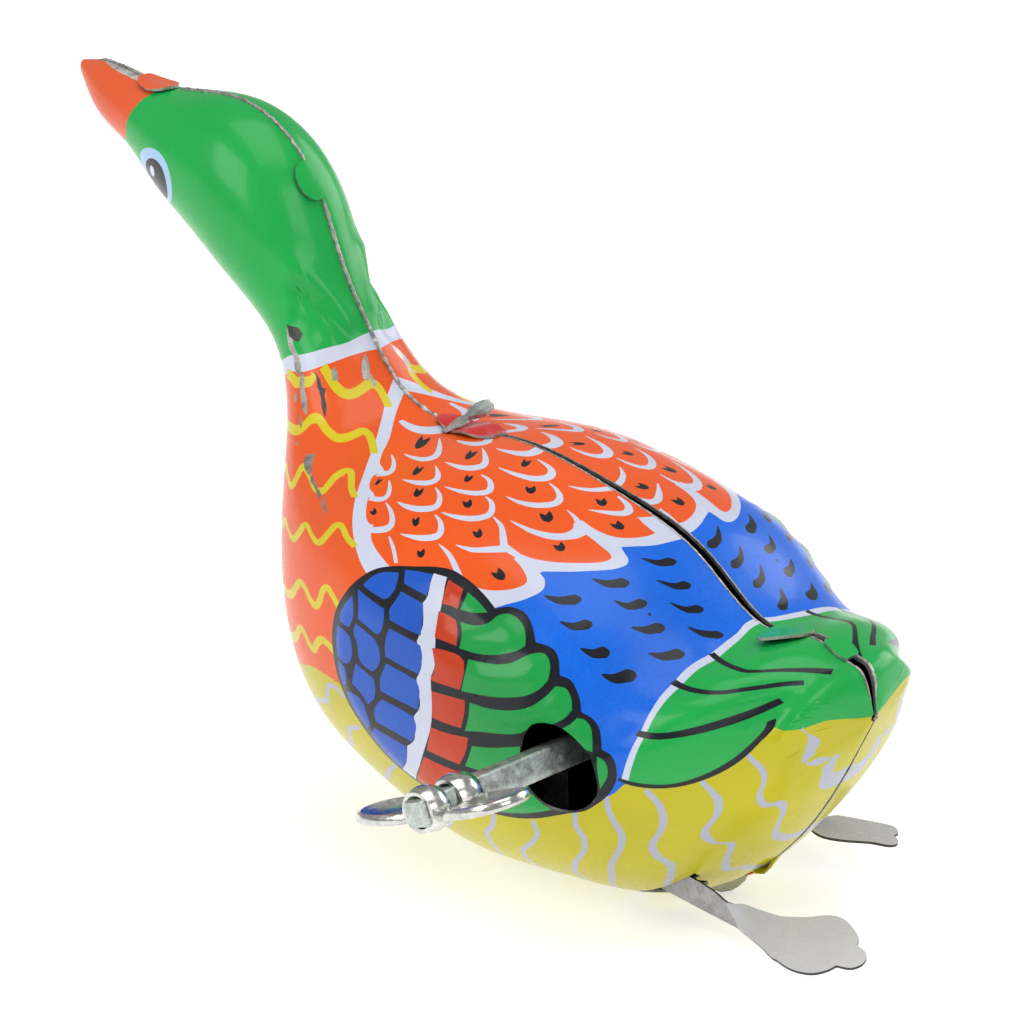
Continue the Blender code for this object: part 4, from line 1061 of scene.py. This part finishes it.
def leg_upright(name, side, x, y, level, materials):
    """The hidden end of a leg: upright by the crank, then bent back and inward to the strut at x."""
    crank_x, half, steps = 12.5, 0.22, 8
    path = [(crank_x, y, z, 0) for z in np.linspace(16.0, level + LEG_BEND, 6)]
    for k in range(1, steps + 1):
        angle = math.radians(90 * k / steps)
        back, up = y + LEG_BEND * (1 - math.cos(angle)), level + LEG_BEND * (1 - math.sin(angle))
        path.append((crank_x + (x - crank_x) * k / steps, back, up, angle))
    sections = []
    for out, back, up, angle in path:
        centre, thin = np.array([side * out, back, up]), np.array([half, 0, 0])
        wide = np.array([0, LEG_HALF * math.cos(angle), LEG_HALF * math.sin(angle)])
        sections.append([centre + wide * u + thin * v for u, v in SQUARE])
    return loft(name, sections, [materials["worn_enamel"]])


def leg_sheet(name, side, outline, place, levels, widen, skew, reach, materials):
    """Strut, quarter twist and webbed foot in one sheet.

    The outline is (back, out) mm from the place of the twist. Out points down on the strut and outward
    on the foot. The twist takes up the reach, and its line leans by skew.
    """
    crease = [(skew * out, out) for out in np.arange(-1.6, 1.61, 0.16)]
    flat, triangles = filled(outline, crease)
    back, out = flat[:, 0], flat[:, 1]
    twist = (back - skew * out) / reach
    turn = np.radians(np.interp(twist, (0, 0.17, 0.5, 1), (90, 60, 30, 9)))
    x = place[0] + np.interp(back, (0, reach), (0, widen))
    level = np.interp(back, *levels)
    middle = np.column_stack([side * (x + out * np.cos(turn)), place[1] + back, level - out * np.sin(turn)])
    normal = np.column_stack([side * np.sin(turn), 0 * back, np.cos(turn)])
    paint = (twist[triangles].mean(axis=1) > 0.02).astype(int)
    inks = [materials["worn_enamel"], materials["enamel"]]
    half = 0.15
    return sheet(name, middle + normal * half, middle - normal * half, triangles, paint, inks, materials,
                 "enamel", "scorch")


# Outlines of both leg sheets, as leg_sheet takes them
LEFT_LEG = (
    (-21.4, 1.75, 1), (-21.4, -1.75, 1), (-4.9, -1.8), (-0.7, -1.1), (0.8, -1.6), (2.9, -2.2), (4.5, -3),
    (7.2, -4.9), (8.9, -6.4), (10.7, -6.8), (13, -5.9), (15.1, -4.5), (16, -3.1, 1), (17.6, -2.6),
    (18.7, -1.5), (19.1, -0.1), (18.5, 1.1), (16.8, 1.5, 1), (16.5, 2.9), (15.4, 4.3), (13, 4.8), (9.8, 4),
    (6.1, 2.3), (1.8, 1.4), (-4.9, 1.5),
)
RIGHT_LEG = (
    (-6.5, 1.75, 1), (-6.5, -1.75, 1), (0, -1.7), (3.4, -2.2), (5.8, -4.4), (8.7, -5.8), (11.1, -5),
    (13.6, -2.6), (15.5, -1.8), (15.8, -0.6), (14.8, 0.9), (13.3, 1.9, 1), (12.8, 3.4), (11.3, 4.7),
    (9.9, 5), (6.5, 3.8), (3.4, 2.5), (0, 1.7),
)


def make_legs(materials):
    """Both legs as drawn pieces: (object, body)."""
    # Level of the sheet in mm along its length
    left_levels = ((-21.4, 0, 3, 7, 20), (7.1, 3.36, 2.9, 2.5, 2.3))
    right_levels = ((-6.5, 0, 4, 20), (7.6, 6.75, 5.8, 5.8))
    return [
        (leg_upright("left_leg_upright", 1, 9.5, 23.0, 7.1, materials), "left_foot"),
        (leg_sheet("left_webbed_foot", 1, LEFT_LEG, (9.5, 47.4), left_levels, 0, 0.78, 7.0, materials),
         "left_foot"),
        (leg_upright("right_leg_upright", -1, 12.5, 27.3, 7.6, materials), "right_foot"),
        (leg_sheet("right_webbed_foot", -1, RIGHT_LEG, (12.5, 36.8), right_levels, 1.6, 0, 4.0, materials),
         "right_foot"),
    ]


# ---------------------------------------------------------------- mesh helpers
def add_object(name, data):
    """An object that shows the data, linked into the scene."""
    obj = bpy.data.objects.new(name, data)
    bpy.context.scene.collection.objects.link(obj)
    return obj


def add_mesh(name, points, faces, materials):
    """A mesh object from points in the toy's own mm axes, placed in the row frame."""
    mesh = bpy.data.meshes.new(name)
    mesh.from_pydata([tuple(p) for p in (np.asarray(points, float) + PLACE) * MM], [], faces)
    for made in materials:
        mesh.materials.append(made)
    mesh.shade_smooth()
    return add_object(name, mesh)


def fix_normals(obj):
    """Outward normals, and a hard edge where two faces meet at over 40 degrees."""
    edit = bmesh.new()
    edit.from_mesh(obj.data)
    bmesh.ops.recalc_face_normals(edit, faces=edit.faces)
    edit.to_mesh(obj.data)
    edit.free()
    obj.data.set_sharp_from_angle(angle=math.radians(40))


# ---------------------------------------------------------------- materials
class Nodes:
    """Short names for adding and linking shader nodes."""

    def __init__(self, name):
        self.material = bpy.data.materials.new(name)
        self.material.use_nodes = True
        self.tree = self.material.node_tree
        self.shader = self.tree.nodes["Principled BSDF"]
        where = self.add("ShaderNodeTexCoord")
        self.place = where.outputs["Object"]

    def add(self, kind, **inputs):
        node = self.tree.nodes.new(kind)
        for name, value in inputs.items():
            self.put(node.inputs[name.replace("_", " ")], value)
        return node

    def put(self, socket, value):
        if isinstance(value, bpy.types.NodeSocket):
            self.tree.links.new(value, socket)
        else:
            socket.default_value = value

    def noise(self, size_mm, detail, roughness=0.5):
        node = self.add("ShaderNodeTexNoise", Vector=self.place, Scale=1000 / size_mm, Detail=detail,
                        Roughness=roughness)
        return node.outputs["Fac"]

    def ramp(self, value, low, high, out_low=0.0, out_high=1.0):
        node = self.add("ShaderNodeMapRange", Value=value)
        ends = {"From Min": low, "From Max": high, "To Min": out_low, "To Max": out_high}
        for name, number in ends.items():
            node.inputs[name].default_value = number
        node.clamp = True
        return node.outputs["Result"]

    def mix(self, share, first, second):
        node = self.tree.nodes.new("ShaderNodeMix")
        node.data_type = "RGBA"
        colours = [s for s in node.inputs if s.type == "RGBA"]
        self.put(node.inputs["Factor"], share)
        for socket, value in zip(colours, (first, second)):
            self.put(socket, (*value, 1) if isinstance(value, tuple) else value)
        return [s for s in node.outputs if s.type == "RGBA"][0]

    def bump(self, height, distance_mm, strength, after=None):
        node = self.add("ShaderNodeBump", Height=height, Strength=strength, Distance=distance_mm * MM)
        if after is not None:
            self.put(node.inputs["Normal"], after)
        return node.outputs["Normal"]

    def set(self, **inputs):
        for name, value in inputs.items():
            socket = self.shader.inputs[name.replace("_", " ")]
            self.put(socket, (*value, 1) if isinstance(value, tuple) and len(value) == 3 else value)
        return self.material


def shade(colour, factor):
    """A lighter or darker tone of a colour."""
    return tuple(min(1.0, c * factor) for c in colour)


def lacquer(name, colour, grain=0.05, gloss=0.24):
    """Litho ink under clear varnish on tinplate: slight mottling, worn specks and shallow ripples."""
    n = Nodes(name)
    broad = n.ramp(n.noise(14, 2), 0.3, 0.7)
    tinted = n.mix(broad, shade(colour, 0.93), shade(colour, 1.05))
    fine = n.ramp(n.noise(0.35, 2, 0.7), 0.35, 0.65)
    tinted = n.mix(n.ramp(fine, 0, 1, 0, grain), tinted, shade(colour, 0.6))
    worn = n.ramp(n.noise(2.2, 8, 0.72), 0.70, 0.76)
    tinted = n.mix(n.ramp(worn, 0, 1, 0, 0.25), tinted, (0.62, 0.62, 0.6))
    rough = n.ramp(n.noise(1.4, 5, 0.6), 0.3, 0.7, gloss - 0.05, gloss + 0.07)
    ripple = n.bump(n.noise(7, 2), 0.12, 0.35)
    skin_bump = n.bump(n.noise(0.6, 3, 0.6), 0.01, 0.5, after=ripple)
    return n.set(Base_Color=tinted, Roughness=rough, Normal=skin_bump, Coat_Weight=0.12, Coat_Roughness=0.08,
                 Specular_IOR_Level=0.25)


def bare_tin(name, colour, dark, metallic):
    """Uncoated tinplate or zinc, dulled and speckled with age."""
    n = Nodes(name)
    cloud = n.ramp(n.noise(1.6, 6, 0.65), 0.35, 0.62)
    speck = n.ramp(n.noise(0.25, 3, 0.7), 0.52, 0.66)
    tinted = n.mix(cloud, shade(colour, 0.72), shade(colour, 1.25))
    tinted = n.mix(n.ramp(speck, 0, 1, 0, 0.55), tinted, dark)
    rough = n.ramp(n.noise(0.8, 4), 0.3, 0.7, 0.3, 0.55)
    return n.set(Base_Color=tinted, Metallic=metallic, Roughness=rough,
                 Normal=n.bump(n.noise(0.5, 4, 0.7), 0.03, 0.7))


def polished(name, colour, roughness=0.28, size_mm=1.2):
    """Machined or rolled metal with a light tarnish."""
    n = Nodes(name)
    cloud = n.ramp(n.noise(size_mm, 5, 0.6), 0.32, 0.68)
    tinted = n.mix(cloud, shade(colour, 0.7), shade(colour, 1.1))
    rough = n.ramp(n.noise(size_mm * 0.5, 4), 0.3, 0.7, roughness - 0.08, roughness + 0.12)
    return n.set(Base_Color=tinted, Metallic=1.0, Roughness=rough,
                 Normal=n.bump(n.noise(size_mm * 0.4, 3), 0.015, 0.5))


def worn_enamel():
    """White enamel rubbed back to grey metal along the strut."""
    n = Nodes("worn_enamel")
    rub = n.ramp(n.noise(2.6, 7, 0.68), 0.40, 0.62)
    fine = n.ramp(n.noise(0.5, 4, 0.7), 0.45, 0.6)
    tinted = n.mix(n.ramp(rub, 0, 1, 0.35, 0.95), (0.56, 0.55, 0.60), (0.30, 0.29, 0.30))
    tinted = n.mix(n.ramp(fine, 0, 1, 0, 0.3), tinted, (0.15, 0.12, 0.10))
    return n.set(Base_Color=tinted, Roughness=0.45, Metallic=n.ramp(rub, 0, 1, 0.1, 0.5))


INKS = {
    "beak": (0.76, 0.115, 0.035), "orange": (0.80, 0.105, 0.018), "cape": (0.86, 0.105, 0.012),
    "green": (0.012, 0.40, 0.075), "feather": (0.012, 0.345, 0.065), "white": (0.62, 0.66, 0.80),
    "scale_blue": (0.014, 0.098, 0.53), "block_red": (0.56, 0.048, 0.012),
    "yellow": (0.55, 0.49, 0.01), "wave": (0.66, 0.56, 0.02), "ripple": (0.44, 0.46, 0.55),
    "ink": (0.009, 0.011, 0.016), "eye_rim": (0.38, 0.58, 0.82), "eye_dark": (0.012, 0.013, 0.015),
    # The front belly lug's ink is the belly's yellow darkened: painted shade
    "eye_glint": (0.62, 0.70, 0.92), "lug_red": (0.62, 0.010, 0.012), "lug_yellow_painted_shade": (0.16, 0.14, 0.006),
}


def make_materials():
    """Every material by its name."""
    made = {name: lacquer(name, colour) for name, colour in INKS.items()}
    made["blue"] = lacquer("blue", (0.004, 0.15, 0.80), grain=0.45, gloss=0.3)
    made["bare"] = bare_tin("bare", (0.42, 0.41, 0.38), (0.12, 0.11, 0.1), 0.85)
    # A lighter copy of the bare tin for the beak's ridge: painted highlight over the worn tin
    made["bright_tin"] = bare_tin("bright_tin", (0.62, 0.62, 0.58), (0.2, 0.18, 0.15), 0.8)
    made["scorch"] = bare_tin("scorch", (0.05, 0.045, 0.04), (0.01, 0.01, 0.01), 0.3)
    # The inner skin of the shells and tabs is coloured near black: painted shade of the closed inside, seen
    # through the seam and the key hole
    made["inside"] = bare_tin("inside", (0.09, 0.085, 0.08), (0.03, 0.03, 0.03), 0.6)
    made["zinc"] = bare_tin("zinc", (0.50, 0.55, 0.52), (0.13, 0.16, 0.15), 0.9)
    made["key_zinc"] = polished("key_zinc", (0.72, 0.72, 0.69), 0.2, 1.5)
    made["steel"] = polished("steel", (0.30, 0.31, 0.33))
    made["brass"] = polished("brass", (0.62, 0.42, 0.13))
    made["spring"] = polished("spring", (0.12, 0.14, 0.2), 0.3)
    made["enamel"] = lacquer("enamel", (0.60, 0.60, 0.66), grain=0.12, gloss=0.25)
    made["worn_enamel"] = worn_enamel()
    return made


# ---------------------------------------------------------------- floor, lights and camera
def make_stage():
    """A large pale floor at the height that the toy rests on."""
    mesh = bpy.data.meshes.new("floor")
    half = 3.0
    mesh.from_pydata([(half * x, half * y, 0) for x, y in SQUARE], [], [(0, 1, 2, 3)])
    floor = add_object("floor", mesh)
    n = Nodes("floor")
    n.set(Base_Color=(0.7, 0.7, 0.7), Roughness=0.8, Emission_Color=(1, 1, 1), Emission_Strength=0.55)
    mesh.materials.append(n.material)


def area_light(name, place, size, power):
    """A white lamp turned to the middle of the toy."""
    data = bpy.data.lights.new(name, "AREA")
    data.shape = "RECTANGLE"
    data.size, data.size_y = size
    data.energy = power
    light = add_object(name, data)
    light.location = place
    light.rotation_euler = (Vector((0, 0, 0.04)) - light.location).to_track_quat("-Z", "Y").to_euler()


def make_lights():
    """An even white surround and four soft lamps: above, on both sides and behind."""
    world = bpy.data.worlds.new("studio")
    world.use_nodes = True
    background = world.node_tree.nodes["Background"]
    background.inputs["Color"].default_value = (1, 1, 1, 1)
    background.inputs["Strength"].default_value = 0.36
    bpy.context.scene.world = world
    area_light("top_light", (0.05, 0.1, 1.1), (0.9, 0.9), 5.2)
    area_light("side_light", (0.75, -0.25, 0.5), (0.5, 0.5), 2.6)
    area_light("back_light", (0.2, 0.85, 0.6), (0.5, 0.4), 1.6)
    area_light("far_light", (-0.9, 0.25, 0.4), (0.6, 0.6), 3.4)


def make_camera():
    """The camera that looks at the toy's left side from behind and a little above."""
    data = bpy.data.cameras.new("camera")
    data.lens, data.sensor_width = 218.2, 36.0
    data.clip_start, data.clip_end = 0.01, 10
    camera = add_object("camera", data)
    azimuth, elevation, roll = map(math.radians, (133.5, 19.63, -1.3))
    distance = 0.7015
    back = Vector((math.sin(azimuth) * math.cos(elevation), -math.cos(azimuth) * math.cos(elevation),
                   math.sin(elevation)))
    level = Vector((0, 0, 1)).cross(back).normalized()
    upright = back.cross(level)
    right = level * math.cos(roll) + upright * math.sin(roll)
    up = upright * math.cos(roll) - level * math.sin(roll)
    target = Vector((np.array([20.01, 24.11, 49.71]) + PLACE) * MM)
    turn = Matrix((right, up, back)).transposed().to_4x4()
    camera.matrix_world = Matrix.Translation(target + back * distance) @ turn
    bpy.context.scene.camera = camera


# ---------------------------------------------------------------- all of it
SLOT_LOOKS = {"tinplate": "steel", "zinc_plated": "zinc", "brass": "brass", "spring_steel": "spring",
              "white_enamel": "enamel"}


def dress_clockwork(materials):
    """Gives the CAD parts that stay in view the aged metal looks."""
    for obj in bpy.data.objects:
        if obj.type != "MESH":
            continue
        for slot in obj.material_slots:
            name = slot.material.name.split(".")[0] if slot.material else ""
            if name in SLOT_LOOKS:
                slot.material = materials[SLOT_LOOKS[name]]


def ride_all(objects, body, node):
    """Ties drawn pieces to a body, in place of a CAD node, which it hides."""
    for obj in objects:
        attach(obj, body)
        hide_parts(node)


def main():
    materials = make_materials()
    dress_clockwork(materials)
    left = painted_shell("left_printed_shell", 1, materials, KEY_OPENING)
    ride_all([left], "casing", "left_shell")
    ride_all([painted_shell("right_printed_shell", -1, materials)], "casing", "right_shell")
    for obj in make_seams(materials) + make_tabs(materials):
        node = "right_shell" if obj.name.startswith(("right", "belly")) else "left_shell"
        ride_all([obj], "casing", node)
    ride_all(make_back_lug(materials), "casing", "back_twist_lug")
    front, rear, red = make_belly_lugs(materials)
    ride_all([front, red], "casing", "front_belly_lug")
    ride_all([rear], "casing", "rear_belly_lug")
    wings = [make_key_wing("key_left_wing", 1, materials), make_key_wing("key_right_wing", -1, materials)]
    ride_all(wings + make_key_hub(materials), "winding_set", "winding_key")
    bar = make_key_bar(materials)
    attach(bar, "winding_set")
    for obj, body in make_legs(materials):
        ride_all([obj], body, body.replace("foot", "leg"))
    make_stage()
    make_lights()
    make_camera()
    bpy.context.scene.view_settings.view_transform = "Standard"


main()
